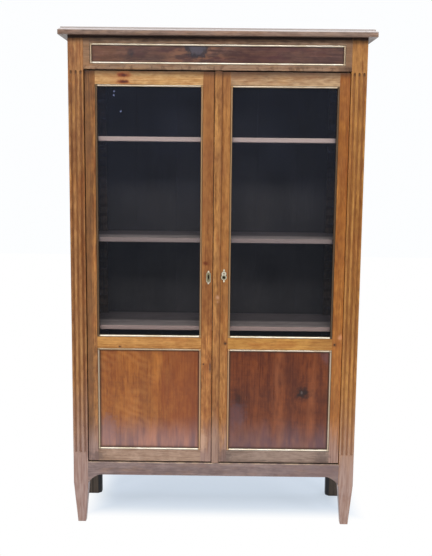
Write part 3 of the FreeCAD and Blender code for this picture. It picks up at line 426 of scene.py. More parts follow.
def crotch_figure(colour, place):
    """Dark wedge a little left of the middle, grey inside, with rusty streaks beside it and plum clouds."""
    across = place.part("X")
    plum = place.patches(7, 20, 3.0, low=0.46, high=0.64) * 0.65 + across.ease(*plum_side) * 0.25
    colour = plum.mix(colour, plum_brown)
    colour = place.spot(*rusty_end).mix(colour, rust_brown, share=0.22)
    colour = place.spot(*plum_cloud).mix(colour, plum_dark, share=0.45)
    away = abs(across - wedge_x)
    rust = place.patches(14, 50, 3.0, low=0.44, high=0.62) * (1 - away.ease(*rust_reach) * 0.75)
    colour = rust.mix(colour, rust_brown, share=0.5)
    colour = place.spot(*crotch_knot, rough=0.4).mix(colour, crotch_dark, share=0.6)
    ragged = place.waver(70, 70, 3.0, width=0.04)
    above = place.part("Z") - wedge_foot + ragged
    inside = place.math("MINIMUM", above * wedge_spread + wedge_half - away + ragged, above)
    colour = inside.ease(*wedge_rim).mix(colour, crotch_dark, share=0.85)
    return inside.ease(*wedge_core).mix(colour, crotch_grey, share=0.75)


dress(
    wood("frieze_panel_wood", "X", frieze_panel_tones, plank=8, marks=crotch_figure, warmth=0.0),
    "frieze_panel")

tarnish_reach = 0.003
brass_rays = 8
file_marks = 0.0002


def brass(name, dull, bright, tarnish, roughness, metal=0.9, marks=None):
    """Brass, polished where it is rubbed and dull with tarnish in the corners."""
    material, shader, place = new_finish(name)
    clouds = place.patches(14, 14, 4.0, low=0.35, high=0.75)
    dirt = open_air(place, tarnish_reach, brass_rays).fade(0.2, 0.6) * 0.6
    colour = clouds.mix(bright, dull, share=0.7)
    if marks:
        colour = marks(colour, place)
    colour = dirt.mix(colour, tarnish)
    grit = place.cloud(700, 700, 2.0)
    bump = place.node("Bump", {}, {"Strength": 0.1, "Distance": file_marks, "Height": grit})
    feed(
        shader, Base_Color=colour, Metallic=metal - dirt * (metal * 0.6),
        Roughness=clouds * 0.12 + dirt * 0.3 + roughness, Normal=bump)
    return material


fillet_band = 0.009
band_half = fillet_band / 2
fillet_tones = (paint(222, 200, 158), paint(250, 240, 220), paint(104, 80, 46))
fillet_shade = paint(150, 114, 72)
flank_shade = paint(96, 66, 38)
mitre_blend = 0.002
side_blend = 0.02
shaded_flanks = (0.0014, 0.0034)


def fillet_brass(piece, outer_side, lock_side, head_shade):
    """Brass of one frame of fillets, bright at the foot, with painted shade: duller at the head, each
    upright side darker in a tone of its own, and darker flanks off the crown.
    """
    low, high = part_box(piece)
    middle = (low + high) / 2
    reach = (high - low) / 2
    inner = reach - Vector((fillet_band, 0, fillet_band))
    crown = reach - Vector((band_half, 0, band_half))

    def light_marks(colour, place):
        beside = abs(place.part("X") - middle.x)
        above = place.part("Z") - middle.z
        head = above.ease(inner.z - mitre_blend, inner.z)
        colour = head.mix(colour, fillet_shade, share=head_shade)
        upright = beside.ease(inner.x - mitre_blend, inner.x)
        outer = abs(place.part("X")).ease(abs(middle.x), abs(middle.x) + side_blend)
        for side, (tone, side_shade) in ((outer, outer_side), (1 - outer, lock_side)):
            colour = (upright * side).mix(colour, tone, share=side_shade)
        # Painted shade on the flanks of the half-round, away from its bright crown.
        from_crown = place.math("MINIMUM", abs(beside - crown.x), abs(abs(above) - crown.z))
        return from_crown.ease(*shaded_flanks).mix(colour, flank_shade, share=0.8)

    return brass(piece + "_brass", *fillet_tones, roughness=0.34, metal=0.6, marks=light_marks)


frieze_side = (fillet_shade, 0.65)
dress(fillet_brass("frieze_fillet", frieze_side, frieze_side, head_shade=0.2), "frieze_fillet")

# Bottom board and bearers: softwood boards that floor the case, on strips nailed to the rails.
# Stained dark inside and left as sawn below.
inner_tones = (paint(46, 36, 31), paint(84, 66, 56))
unwaxed = {"wax": 0.0, "warmth": 0.0}
inner_wood = wood("inner_wood", "X", inner_tones, plank=9, roughness=0.65, wear_and_highlight=0.15, **unwaxed)
dress(inner_wood, "bottom_board", "bottom_bearers")

# Back: six upright boards nailed in the posts' rebates, on a rail at the head and at the foot.
# Stained nearly black on the inside; the outside is bare, grey and dusty.
boards_low, boards_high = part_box("back_boards")
board_count = 6
board_width = (boards_high.x - boards_low.x) / board_count
board_tones = (paint(40, 37, 39), paint(66, 59, 60))
bare_tones = (paint(126, 100, 74), paint(162, 136, 106))
bare_grey = paint(112, 98, 84)
bare_face = (boards_low.y + 0.002, boards_low.y + 0.004)
seam_black = paint(34, 28, 23)
seam_edge = (0.487, 0.495)
tone_step = 2.6
grain_step_x = 0.37
grain_step_z = 1.9


def bare_outside(colour, place):
    """Bare wood on the outer face of the boards, each of its own tone, with dirt in the seams."""
    outside = place.part("Y").ease(*bare_face)
    across = (place.part("X") - boards_low.x) * (1 / board_width)
    board = place.math("FLOOR", across)
    tone = place.math("SINE", board * tone_step + 1.0) * 0.5 + 0.5
    own_place = place.node("CombineXYZ", {}, {
        "X": place.part("X") + board * grain_step_x, "Z": place.part("Z") + board * grain_step_z})
    grain = own_place.patches(46, 1.6, 5.0, low=0.25, high=0.75)
    bare = tone.mix(grain.mix(*bare_tones), bare_grey, share=0.5)
    bare = place.patches(5, 3, 3.0, low=0.45, high=0.75).mix(bare, bare_grey, share=0.4)
    seam = abs(across - board - 0.5).ease(*seam_edge)
    return outside.mix(colour, seam.mix(bare, seam_black, share=0.8))


dress(
    wood(
        "back_board_wood", "Z", board_tones, plank=10, marks=bare_outside, roughness=0.75, wear_and_highlight=0.1,
        figure=0.35, **unwaxed),
    "back_boards")
back_rail_tones = (paint(40, 32, 28), paint(76, 60, 50))
dress(
    wood("back_rail_wood", "X", back_rail_tones, plank=11, roughness=0.7, wear_and_highlight=0.1, **unwaxed),
    "back_rails")

# Cornice: a moulded strip round the front and sides, mitred at the front corners.
# A dusty top board is let in behind it, level with its upper edge.
cornice_tones = (paint(100, 76, 62), paint(162, 134, 116))
top_board_tones = (paint(104, 78, 60), paint(160, 130, 106))
fascia_height = 0.017
polished_height = (0.001, 0.012)
dust_and_highlight = paint(222, 213, 208)


def facing_up(place):
    """1 on the faces that look up, where dust lies and the painted highlight goes."""
    return place.node("NewGeometry", output="Normal").part("Z").ease(0.15, 0.6)


def dust_and_highlight_top(colour, place):
    """Dust and painted highlight on faces that look up, a painted highlight on the moulding over the fascia,
    and old polish at its foot.
    """
    level = place.part("Z") - post_high.z
    polished = (level + place.waver(22, 60, 3.0, width=0.012)).fade(*polished_height)
    colour = polished.mix(colour, packed_polish, share=0.4)
    # Painted highlight on the moulding above the fascia.
    moulding = level.ease(fascia_height - soft_edge, fascia_height + soft_edge)
    colour = moulding.mix(colour, dust_and_highlight, share=0.6)
    lying = facing_up(place) * (place.cloud(26, 26, 3.0) * 0.5 + 0.6)
    return lying.mix(colour, dust_and_highlight, share=0.85)


def dusty_board(colour, place):
    """A thinner, cloudy coat of dust on the top board."""
    coat = place.patches(6, 6, 4.0, low=0.3, high=0.75) * 0.4 + 0.2
    return (facing_up(place) * coat).mix(colour, dust_and_highlight)


dress(wood("cornice_wood", "X", cornice_tones, plank=12, marks=dust_and_highlight_top, warmth=0.1), "cornice_front")
dress(
    wood("cornice_return_wood", "Y", cornice_tones, plank=13, marks=dust_and_highlight_top, warmth=0.1),
    "cornice_returns")
dress(
    wood("top_board_wood", "X", top_board_tones, plank=14, marks=dusty_board, roughness=0.7, **unwaxed),
    "top_board")

# Door stops, racks and cleats: softwood battens behind the doors, and four notched uprights.
# The cleats lie loose in the notches, one under each end of each shelf.
cleat_tones = (paint(52, 40, 34), paint(92, 72, 60))
dress(inner_wood, "door_stops")
dress(wood("rack_wood", "Z", inner_tones, plank=15, roughness=0.65, wear_and_highlight=0.2, **unwaxed), "shelf_racks")
dress(wood("cleat_wood", "Y", cleat_tones, plank=16, roughness=0.65, wear_and_highlight=0.2, **unwaxed), "shelf_cleats")

# Shelves: three plain boards with their corners cut out round the racks.
# Left bare and grey, with painted shadow behind the front and a painted highlight along the front edge,
# brightest on the upper shelf.
shelf_tones = (paint(168, 150, 146), paint(214, 196, 192))
shelf_shade = paint(101, 90, 92)
shaded_depth = (0.085, 0.135)
edge_start = 0.002
edge_end = 0.007
shelf_edge_highlights = {
    "lower_shelf": (17, paint(210, 174, 164)),
    "middle_shelf": (18, paint(178, 152, 146)),
    "upper_shelf": (19, paint(244, 210, 200)),
}


def shelf_marks(front, pale):
    """Painted light on a shelf: painted shadow behind its front, and a painted highlight on the front edge.
    """
    def marks(colour, place):
        behind = place.part("Y") - front + place.waver(12, 12, 3.0, width=0.03)
        colour = behind.ease(*shaded_depth).mix(colour, shelf_shade, share=0.9)
        edge = place.part("Y").fade(front + edge_start, front + edge_end)
        return edge.mix(colour, pale, share=0.9)
    return marks


for shelf, (plank, pale) in shelf_edge_highlights.items():
    painted_light = shelf_marks(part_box(shelf)[0].y, pale)
    dress(wood(shelf + "_wood", "X", shelf_tones, plank, painted_light, roughness=0.55, **unwaxed), shelf)

# Door frames: mortised stiles and tenoned rails of fruitwood, planed flush and waxed.
# The rails are a paler, more golden plank than the stiles; low down the doors are paler and greyer, a
# painted reflection of the floor, and along their tops lies a painted shadow of the frieze.
stile_reflection = floor_reflection(low=0.29, high=0.47, tones=(paint(136, 108, 97), paint(168, 138, 126)))
damp_stain = paint(74, 57, 54)
damp_corners = ((-0.480, 0.292), (0.046, 0.290), (0.446, 0.288))
damp_size = 0.085


def damp(colour, place):
    """Dark stains where water stood in the lower corners of the doors."""
    for x, z in damp_corners:
        colour = place.spot(x, z, damp_size, damp_size, rough=0.45).mix(colour, damp_stain, share=0.5)
    return colour


door_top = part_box("left_door_top_rail")[1].z
door_shade = paint(58, 30, 19)
shaded_height = (door_top - 0.030, door_top + 0.001)


def shaded_head(colour, place):
    """Painted shadow of the frieze along the top edge of a door, close under it, fading out downwards."""
    ragged = place.part("Z") + place.waver(24, 24, 3.0, width=0.006)
    return ragged.ease(*shaded_height).mix(colour, door_shade, share=0.78)


knot_dark = paint(66, 36, 22)
knot_halo = paint(140, 84, 46)
halo_share = 1.8


def knot(x, z, width, height):
    """Marks of one small knot in a paler halo."""
    def marks(colour, place):
        halo = place.spot(x, z, width * halo_share, height * halo_share)
        colour = halo.mix(colour, knot_halo, share=0.6)
        return place.spot(x, z, width, height).mix(colour, knot_dark, share=0.9)
    return marks


outer_brown = paint(94, 62, 38)
board_joint = (-0.496, -0.484)


def left_hinge_marks(colour, place):
    """Darker outer half, as two boards are glued edge to edge here."""
    wavy = place.part("X") + place.waver(30, 3, 2.0, width=0.012)
    colour = wavy.fade(*board_joint).mix(colour, outer_brown, share=0.56)
    return shaded_head(damp(stile_reflection(colour, place), place), place)


handled_brown = paint(122, 70, 34)
handled_height = (0.78, 0.92)
upper_height = (1.15, 1.35)
dark_streak = (-0.018, 0.670, 0.012, 0.070)
keyhole_knot = (-0.040, 1.094, 0.034, 0.025)
knot_brown = paint(104, 44, 8)
pale_patch = (-0.047, 0.358, 0.052, 0.13)
pale_foot = paint(206, 164, 134)
stile_knot = knot(-0.045, 0.682, 0.010, 0.010)


def left_lock_marks(colour, place):
    """A knot over the keyhole, a dark streak and a small knot by the panel, and a pale patch low down."""
    height = place.part("Z") + place.waver(8, 4, 2.0, width=0.2)
    handled = height.ease(*handled_height) * 0.46 + height.ease(*upper_height) * 0.15
    colour = shaded_head(stile_reflection(handled.mix(colour, handled_brown), place), place)
    colour = place.spot(*dark_streak).mix(colour, damp_stain, share=0.7)
    colour = place.spot(*keyhole_knot, rough=0.2).mix(colour, knot_brown, share=0.95)
    colour = place.spot(*pale_patch, rough=0.2).mix(colour, pale_foot, share=0.7)
    return stile_knot(colour, place)


knot_red = paint(106, 28, 4)
red_knots = ((1.8245, 0.024), (1.7995, 0.022))
red_knot_rings = (
    (-0.364, 0.084, 1.6, flame, 0.6), (-0.364, 0.066, 1.0, knot_red, 0.95),
    (-0.360, 0.034, 0.6, knot_dark, 0.7))


def left_top_marks(colour, place):
    """Two long red knots one above the other, each in three rings, and painted shade along the top."""
    colour = shaded_head(colour, place)
    for z, height in red_knots:
        for x, width, height_share, tone, share in red_knot_rings:
            colour = place.spot(x, z, width, height * height_share, rough=0.2).mix(colour, tone, share)
    return colour


pegs_low, pegs_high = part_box("right_door_pegs")
peg_level = (pegs_low.z + pegs_high.z) / 2
peg_radius = (pegs_high.z - pegs_low.z) / 2
peg_stain = 8 * peg_radius
peg_brown = paint(92, 52, 24)


def peg_dirt(colour, place):
    """Dark dirt packed round the ends of the pegs."""
    for x in (pegs_low.x + peg_radius, pegs_high.x - peg_radius):
        stain = place.spot(x, peg_level, peg_stain, peg_stain, rough=0.2)
        colour = stain.mix(colour, peg_brown, share=0.75)
    return colour


brown_side = (0.495, 0.54, 0.14, 0.26)
rosy_patch = (0.505, 0.799, 0.028, 0.030)
rose_brown = paint(204, 140, 98)


def right_hinge_marks(colour, place):
    """A rosy patch beside the middle rail, dirt round the peg, and browner wood half way up the panel."""
    colour = place.spot(*brown_side).mix(colour, handled_brown, share=0.25)
    colour = place.spot(*rosy_patch).mix(colour, rose_brown, share=0.8)
    colour = shaded_head(peg_dirt(colour, place), place)
    return damp(stile_reflection(colour, place), place)


def right_lock_marks(colour, place):
    """Darker from hands above the middle rail, with dirt round the peg."""
    colour = place.part("Z").ease(*handled_height).mix(colour, handled_brown, share=0.3)
    colour = shaded_head(peg_dirt(colour, place), place)
    return damp(stile_reflection(colour, place), place)


brown_end = (0.30, 0.44)


def right_middle_marks(colour, place):
    """Browner wood towards the hinge side."""
    return place.part("X").ease(*brown_end).mix(colour, handled_brown, share=0.28)


smeared_shade = paint(112, 88, 70)
smeared_shade_height = (1.806, 1.838)


def right_top_marks(colour, place):
    """Painted shade along the upper edge, under the frieze: brown smears and a darker band."""
    shade_smears = place.part("Z").ease(*smeared_shade_height) * place.patches(16, 40, 3.0, low=0.40, high=0.62)
    return shaded_head(shade_smears.mix(colour, smeared_shade, share=0.2), place)


rail_knot = knot(-0.384, 0.751, 0.014, 0.010)
usual_habits = {"figure": 1.0}
greyed = {"warmth": 0.0}
door_woods = {
    "left_door_hinge_stile": (
        "Z", paint(114, 69, 35), paint(198, 136, 76), 20, left_hinge_marks, {}),
    "left_door_lock_stile": (
        "Z", paint(134, 78, 35), paint(217, 151, 83), 21, left_lock_marks, {"figure": 1.1}),
    "left_door_top_rail": ("X", paint(176, 123, 68), paint(236, 192, 131), 22, left_top_marks, {}),
    "left_door_middle_rail": ("X", paint(156, 98, 40), paint(212, 154, 84), 23, rail_knot, {}),
    "left_door_bottom_rail": ("X", paint(144, 112, 89), paint(190, 157, 132), 24, damp, greyed),
    "right_door_hinge_stile": (
        "Z", paint(132, 72, 22), paint(201, 132, 60), 25, right_hinge_marks,
        {"figure": 0.8, "warmth": 0.12, "dirt": 0.0}),
    "right_door_lock_stile": (
        "Z", paint(134, 79, 31), paint(208, 145, 78), 26, right_lock_marks, {}),
    "right_door_top_rail": (
        "X", paint(148, 108, 72), paint(208, 172, 129), 27, right_top_marks, {"warmth": 0.15}),
    "right_door_middle_rail": (
        "X", paint(156, 98, 34), paint(212, 156, 77), 28, right_middle_marks, {}),
    "right_door_bottom_rail": ("X", paint(122, 98, 82), paint(166, 140, 122), 29, damp, greyed),
}
for piece, (along, dark, light, plank, marks, habits) in door_woods.items():
    dress(wood(piece + "_wood", along, (dark, light), plank, marks, **(usual_habits | habits)), piece)

# Lower door panels: one wide figured board each, held in grooves so that it can shrink.
# The left one is orange-brown, the right one darker and redder, with two knots.
strip_gap = (0.001, 0.010)


def strip_border_dark(colour, place, strips):
    """Darker wood along the inside of the brass strips."""
    low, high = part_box(strips)
    middle = (low + high) / 2
    reach = (high - low) / 2
    from_side = (reach.x - fillet_band) - abs(place.part("X") - middle.x)
    from_end = (reach.z - fillet_band) - abs(place.part("Z") - middle.z)
    gap = place.math("MINIMUM", from_side, from_end) + place.waver(50, 20, 2.0, width=0.006)
    return gap.fade(*strip_gap).mix(colour, packed_polish, share=0.5)


left_panel_tones = (paint(118, 55, 18), paint(184, 113, 46))
umber = paint(108, 62, 34)
honey = paint(196, 132, 72)
ripples = 190
ripple_side = (-0.26, -0.18)
russet = paint(132, 62, 28)
russet_side = (-0.26, -0.14)
russet_line_x = -0.205
russet_line = (0.002, 0.012)
reflected_haze_tones = (paint(126, 100, 102), paint(184, 132, 114))
reflected_haze_height = (0.34, 0.48)
reflected_haze_corner = (-0.44, 0.39, 0.13, 0.20)


def left_panel_marks(colour, place):
    """Honey wood with a faint ripple, redder towards the meeting side, and paler and greyer near the foot, a
    painted reflection of the floor.
    """
    across = place.part("X")
    height = place.part("Z")
    colour = place.patches(15, 5, 4.0, low=0.40, high=0.66).mix(colour, umber, share=0.35)
    colour = place.patches(16, 80, 3.0, low=0.48, high=0.70).mix(colour, umber, share=0.2)
    wavy = across + place.waver(9, 2, 3.0, width=0.14)
    phase = (across * 0.5 + height + place.cloud(8, 8, 2.0) * 0.08) * ripples
    ripple = place.math("SINE", phase) * 0.5 + 0.5
    ripple = ripple * place.patches(9, 9, 2.0, low=0.4, high=0.7) * wavy.fade(*ripple_side)
    colour = ripple.mix(colour, honey, share=0.3)
    colour = wavy.ease(*russet_side).mix(colour, russet, share=0.45)
    colour = abs(wavy - russet_line_x).fade(*russet_line).mix(colour, russet, share=0.35)
    # Painted reflection of the white floor: paler and greyer near the foot.
    ragged = height + place.waver(16, 3, 3.0, width=0.10)
    reflected_haze = place.patches(34, 4, 3.0, low=0.35, high=0.65).mix(*reflected_haze_tones)
    colour = ragged.fade(*reflected_haze_height).mix(colour, reflected_haze, share=0.75)
    colour = place.spot(*reflected_haze_corner).mix(colour, reflected_haze_tones[0], share=0.4)
    return strip_border_dark(colour, place, "left_door_panel_fillet")


right_panel_tones = (paint(82, 31, 8), paint(138, 70, 28))
panel_dark = paint(66, 26, 14)
streak_orange = paint(166, 96, 54)
pale_streaks = ((0.262, 0.030), (0.396, 0.022))
knot_black = paint(40, 20, 14)
panel_knots = ((0.361, 0.564, 0.074, 0.062, 0.95), (0.100, 0.534, 0.034, 0.068, 0.6))
ring_share = 1.7
knot_highlight_grey = paint(122, 106, 100)
knot_highlight = (0.357, 0.565, 0.012, 0.016)
dark_side = (0.10, 0.53, 0.16, 0.20)
bloom_and_reflection_tones = (paint(104, 78, 84), paint(138, 98, 86))
reflected_bloom_height = (0.33, 0.47)
bloom_spots = ((0.086, 0.465, 0.130, 0.150), (0.456, 0.716, 0.070, 0.090))


def right_panel_marks(colour, place):
    """Paler streaks, dark clouds, two ragged knots with a painted highlight in the larger one, greyer spots
    low down and near one edge, and a paler, greyer foot, a painted reflection of the floor.
    """
    colour = place.patches(11, 6, 4.0, low=0.42, high=0.66).mix(colour, panel_dark, share=0.4)
    colour = place.patches(16, 80, 3.0, low=0.46, high=0.70).mix(colour, panel_dark, share=0.25)
    for x, width in pale_streaks:
        wavy = place.part("X") - x + place.waver(20, 4, 3.0, width=0.02)
        streak = abs(wavy).fade(width * 0.2, width) * place.patches(30, 8, 3.0, low=0.3, high=0.6)
        colour = streak.mix(colour, streak_orange, share=0.4)
    for x, z, width, height, shade in panel_knots:
        ring = place.spot(x, z, width * ring_share, height * ring_share, rough=0.4)
        colour = ring.mix(colour, panel_dark, share=0.45)
        colour = place.spot(x, z, width, height, rough=0.35).mix(colour, knot_black, share=shade)
    # Painted highlight in the larger knot.
    colour = place.spot(*knot_highlight).mix(colour, knot_highlight_grey, share=0.45)
    colour = place.spot(*dark_side).mix(colour, panel_dark, share=0.3)
    for bloom_spot in bloom_spots:
        colour = place.spot(*bloom_spot, rough=0.25).mix(colour, bloom_and_reflection_tones[0], share=0.4)
    # Painted reflection of the white floor: paler and greyer near the foot.
    ragged = place.part("Z") + place.waver(16, 3, 3.0, width=0.12)
    reflected_bloom = place.patches(26, 6, 3.0, low=0.35, high=0.65).mix(*bloom_and_reflection_tones)
    colour = ragged.fade(*reflected_bloom_height).mix(colour, reflected_bloom, share=0.7)
    return strip_border_dark(colour, place, "right_door_panel_fillet")


panel_polish = {"roughness": 0.36, "wax": 0.2, "figure": 0.7}
dress(
    wood(
        "left_panel_wood", "Z", left_panel_tones, plank=30, marks=left_panel_marks, warmth=0.12,
        **panel_polish),
    "left_door_panel")
dress(
    wood(
        "right_panel_wood", "Z", right_panel_tones, plank=31, marks=right_panel_marks, warmth=0.0,
        **panel_polish),
    "right_door_panel")

# Glass: one old sheet in the upper part of each door, bedded in the rebate.
# Wooden beads pinned behind hold it, and brass strips line its opening in front.
pane_tint = (0.97, 0.985, 0.985, 1.0)
pane_wave = 0.002
dust_grey = paint(140, 148, 184)
dusty_height = (1.0, 1.75)
putty_specks = ((-0.401, 1.763), (-0.402, 1.748), (-0.375, 1.687))
putty_size = 0.009


def window_glass():
    """Clear sheet with a faint film of dust."""
    material, shader, place = new_finish("window_glass")
    tree = material.node_tree
    tree.nodes.remove(shader)
    clear = place.node("BsdfTransparent", {}, {"Color": pane_tint})
    waves = place.node(
        "Bump", {}, {"Strength": 0.05, "Distance": pane_wave, "Height": place.cloud(9, 5, 1.0)})
    shine = place.node("BsdfGlossy", {}, {"Roughness": 0.03, "Normal": waves})
    film = place.node("BsdfDiffuse", {}, {"Color": dust_grey})
    gloss = place.node("Fresnel", {}, {"IOR": 1.45})
    coat = place.part("Z").ease(*dusty_height) * 0.034 + 0.006
    dusty = place.cloud(5, 5, 4.0) * coat + place.patches(240, 240, 2.0, low=0.70, high=0.80) * 0.10
    for x, z in putty_specks:
        dusty = dusty + place.spot(x, z, putty_size, putty_size) * 0.5
    pane = place.node("MixShader", {}, {0: gloss, 1: clear, 2: shine})
    pane = place.node("MixShader", {}, {0: dusty, 1: pane, 2: film})
    tree.links.new(pane.socket, tree.nodes["Material Output"].inputs["Surface"])
    return material


dress(window_glass(), "left_door_glass", "right_door_glass")
bead_tones = (paint(74, 48, 32), paint(124, 84, 56))
bead_wood = wood("glazing_bead_wood", "Z", bead_tones, plank=32, roughness=0.55, **unwaxed)
dress(bead_wood, "left_door_glazing_beads", "right_door_glazing_beads")
# Tones and shares for the uprights of the strips: painted shade, darker than the bright brass at their feet.
lock_upright_shade = (paint(176, 132, 82), 0.9)
panel_lock_shade = (paint(190, 140, 92), 0.85)
for strips, outer_side, lock_side, head_shade in (
        ("left_door_glass_fillet", (paint(104, 78, 50), 0.95), lock_upright_shade, 0.45),
        ("right_door_glass_fillet", (paint(88, 65, 42), 0.95), lock_upright_shade, 0.5),
        ("left_door_panel_fillet", (fillet_shade, 0.6), panel_lock_shade, 0.65),
        ("right_door_panel_fillet", (fillet_shade, 0.5), panel_lock_shade, 0.35)):
    dress(fillet_brass(strips, outer_side, lock_side, head_shade), strips)

# Closing strip: a moulded lath on the lock edge of the right door, which covers the gap.
# It is glued and pinned on, and its arrises are pale from handling and a painted highlight.
strip_low, strip_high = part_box("closing_strip")
strip_tones = (paint(122, 73, 32), paint(204, 144, 80))
strip_reflection = floor_reflection(
    low=0.32, high=0.52, share=0.75, tones=(paint(142, 116, 103), paint(168, 140, 126)))
strip_inward = (strip_low.x + 0.010, strip_high.x)
strip_handled = (0.66, 0.90)
strip_pale = paint(216, 164, 132)
chip_x = 0.010
chips = ((0.957, 0.022, 0.5), (0.939, 0.014, 0.3))


def strip_marks(colour, place):
    """Browner towards the right door, two chips below the locks, painted shade along the top, browner lower
    down, and paler and greyer at the foot, a painted reflection of the floor.
    """
    handled = place.part("Z").ease(*strip_handled)
    inward = place.part("X").ease(*strip_inward)
    colour = (inward * handled).mix(colour, handled_brown, share=0.5)
    for z, size, share in chips:
        colour = place.spot(chip_x, z, size, size).mix(colour, strip_pale, share)
    colour = (1 - handled).mix(colour, handled_brown, share=0.3)
    return strip_reflection(shaded_head(colour, place), place)


dress(wood("closing_strip_wood", "Z", strip_tones, plank=33, marks=strip_marks, wear_and_highlight=0.9), "closing_strip")

# Pegs: two cut dowels that lock the tenons of the right door's middle rail.
# Their end grain has drunk the stain and stands a little proud.
peg_tones = (paint(40, 28, 21), paint(70, 50, 36))
dress(wood("peg_wood", "Y", peg_tones, plank=34, roughness=0.6, **unwaxed), "right_door_pegs")

# Keyhole plates: cast brass, filed and pinned over the keyholes.
# Hands have kept the rims bright, and the sunk ground has gone olive.
plate_tones = (paint(204, 192, 158), paint(244, 234, 208), paint(60, 50, 32))
plate_thickness = 0.0024
plate_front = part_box("left_door_lock_stile")[0].y - plate_thickness
ground_olive = paint(128, 116, 74)
ground_depth = (0.0005, 0.0009)
plate_level = 1.039
waist_reach = (0.012, 0.022)
left_of_gap = (-0.002, 0.002)
keyhole_shade = paint(12, 10, 8)
keyholes = ((-0.0275, 1.0390, 0.010, 0.032), (0.0343, 1.0385, 0.016, 0.016))


def sunk_ground(colour, place):
    """Olive tarnish inside the rims and on the left waist, and black painted shade in the keyholes."""
    depth = place.part("Y") - plate_front
    colour = depth.ease(*ground_depth).mix(colour, ground_olive, share=0.75)
    waist = abs(place.part("Z") - plate_level).fade(*waist_reach)
    left = place.part("X").fade(*left_of_gap)
    colour = (waist * left).mix(colour, ground_olive, share=0.45)
    for keyhole in keyholes:
        darkened = place.spot(*keyhole, rough=0.1).ease(0.25, 0.7)
        colour = darkened.mix(colour, keyhole_shade, share=0.97)
    return colour


plate_brass = brass("plate_brass", *plate_tones, roughness=0.3, metal=0.45, marks=sunk_ground)
dress(plate_brass, "left_keyhole_plate", "right_keyhole_plate")

# Pivots: brass plates and sockets let into the edges of the doors and rails, screwed fast.
# Hidden in the gaps and never cleaned, so they are nearly black.
pivot_tones = (paint(62, 52, 34), paint(98, 84, 56), paint(34, 28, 20))
pivot_brass = brass("pivot_brass", *pivot_tones, roughness=0.5)
dress(pivot_brass, "pivot_plates", "left_door_pivot_sockets", "right_door_pivot_sockets")

# Lock, bolts and screws: forged and filed iron on the backs of the doors.
# Dark from handling, with a little rust in the corners.
iron_grey = paint(66, 62, 60)
rust_red = paint(96, 62, 42)
rust_depth = 0.0005


def iron(name):
    """Dark iron with patches of rust."""
    material, shader, place = new_finish(name)
    rust = place.patches(60, 60, 4.0, low=0.50, high=0.68)
    grit = place.cloud(500, 500, 3.0)
    colour = rust.mix(iron_grey, rust_red, share=0.7)
    bump = place.node("Bump", {}, {"Strength": 0.3, "Distance": rust_depth, "Height": grit + rust})
    feed(
        shader, Base_Color=colour, Metallic=1 - rust * 0.7, Roughness=rust * 0.3 + grit * 0.2 + 0.35,
        Normal=bump)
    return material


dress(
    iron("old_iron"), "lock_case", "lock_bolt", "lock_keeper", "top_bolt", "bottom_bolt", "bolt_plates",
    "carcase_screws", "left_door_screws", "right_door_screws")

# Floor and light: a white studio floor with soft lamps overhead and in front.
# The room behind the camera is dim, so that the glass stays clear.
scene = bpy.context.scene
scene.view_settings.view_transform = "Standard"
floor_reach = 9.0
floor_front = -2.6
floor_corners = (
    (-floor_reach, floor_front), (floor_reach, floor_front), (floor_reach, floor_reach),
    (-floor_reach, floor_reach))
floor_form = bmesh.new()
floor_form.faces.new([floor_form.verts.new((x, y, 0)) for x, y in floor_corners])
floor_mesh = bpy.data.meshes.new("floor")
floor_form.to_mesh(floor_mesh)
floor_form.free()
floor = bpy.data.objects.new("floor", floor_mesh)
scene.collection.objects.link(floor)


def seen_ray(tone, gloss=1.0):
    """1 on rays that show a thing to the camera or through a pane, and a share on glossy ones."""
    camera_ray, glossy_ray, glass_ray = (
        tone.node("LightPath", output=kind)
        for kind in ("Is Camera Ray", "Is Glossy Ray", "Is Transmission Ray"))
    straight = tone.math("MAXIMUM", camera_ray, glass_ray)
    return tone.math("MAXIMUM", straight, glossy_ray * gloss)


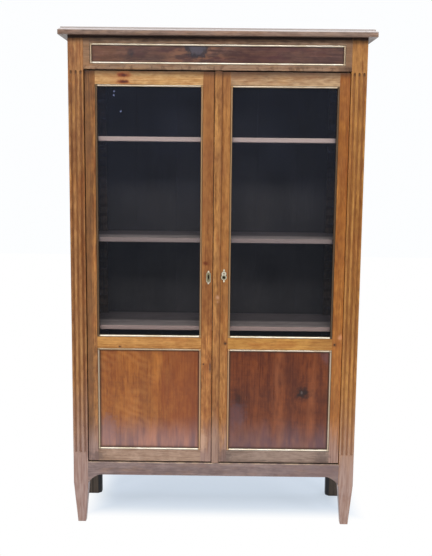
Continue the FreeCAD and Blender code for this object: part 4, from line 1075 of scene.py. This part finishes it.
studio_white = paint(232, 238, 248)
open_white = (1.0, 1.0, 1.0, 1.0)
shadow_blue = paint(230, 243, 255)
shadow_x = 0.04
shadow_y = 0.25
shadow_sides = (0.46, 0.62)
shadow_ends = (0.20, 0.36)
floor_paint, floor_shader, floor_place = new_finish("floor_paint")
feed(floor_shader, Base_Color=studio_white, Roughness=0.9, Specular_IOR_Level=0.0)
beside = abs(floor_place.part("X") - shadow_x).ease(*shadow_sides)
before = abs(floor_place.part("Y") - shadow_y).ease(*shadow_ends)
open_floor = floor_place.math("MAXIMUM", beside, before)
white_floor = floor_place.node(
    "Emission", {}, {"Color": open_floor.mix(shadow_blue, open_white), "Strength": 1.0})
lit_floor = Tone(floor_paint.node_tree, floor_shader.outputs[0])
shown_share = seen_ray(floor_place) * (open_floor * 0.5 + 0.5)
shown_floor = floor_place.node("MixShader", {}, {0: shown_share, 1: lit_floor, 2: white_floor})
floor_end = floor_paint.node_tree.nodes["Material Output"].inputs["Surface"]
floor_paint.node_tree.links.new(shown_floor.socket, floor_end)
floor_mesh.materials.append(floor_paint)

lamp_target = Vector((0, 0, 0.9))


def lamp(name, place, width, height, watts):
    """Soft oblong lamp that looks at the middle of the bookcase."""
    light = bpy.data.lights.new(name, "AREA")
    light.shape = "RECTANGLE"
    light.size = width
    light.size_y = height
    light.energy = watts
    body = bpy.data.objects.new(name, light)
    body.location = place
    body.rotation_euler = (lamp_target - Vector(place)).to_track_quat("-Z", "Y").to_euler()
    scene.collection.objects.link(body)


lamp("overhead_lamp", (0, -6.6, 5.9), width=5.0, height=1.6, watts=320)
lamp("left_lamp", (-4.2, -4.6, 3.0), width=2.0, height=1.4, watts=58)
lamp("right_lamp", (4.2, -4.6, 3.0), width=2.0, height=1.4, watts=66)

room_grey = paint(104, 108, 116)
backdrop_white = (0.98, 0.99, 1.0, 1.0)
world = bpy.data.worlds.new("studio")
scene.world = world
world.use_nodes = True
sky = world.node_tree.nodes["Background"]
heading = Tone(world.node_tree).node("TexCoord", output="Generated")
bright = (heading.part("Y") * 0.8 + heading.part("Z")).ease(-0.25, 0.6)
studio = bright.mix(room_grey, studio_white)
backdrop = seen_ray(heading, bright).mix(studio, backdrop_white)
world.node_tree.links.new(backdrop.socket, sky.inputs["Color"])

# Camera: stands before the middle of the bookcase at eye height and looks a little down.
# Its lens and place follow the photograph's edges.
camera_place = (0.019, -3.536, 1.542)
camera_turn = math.radians(0.278)
camera_tilt = math.radians(8.51)
camera_roll = math.radians(0.598)
focal_length = 55.42
lens = bpy.data.cameras.new("camera")
lens.lens = focal_length
camera = bpy.data.objects.new("camera", lens)
camera.matrix_world = (
    Matrix.Translation(camera_place) @ Matrix.Rotation(camera_turn, 4, "Z")
    @ Matrix.Rotation(math.pi / 2 - camera_tilt, 4, "X") @ Matrix.Rotation(camera_roll, 4, "Z"))
scene.collection.objects.link(camera)
scene.camera = camera
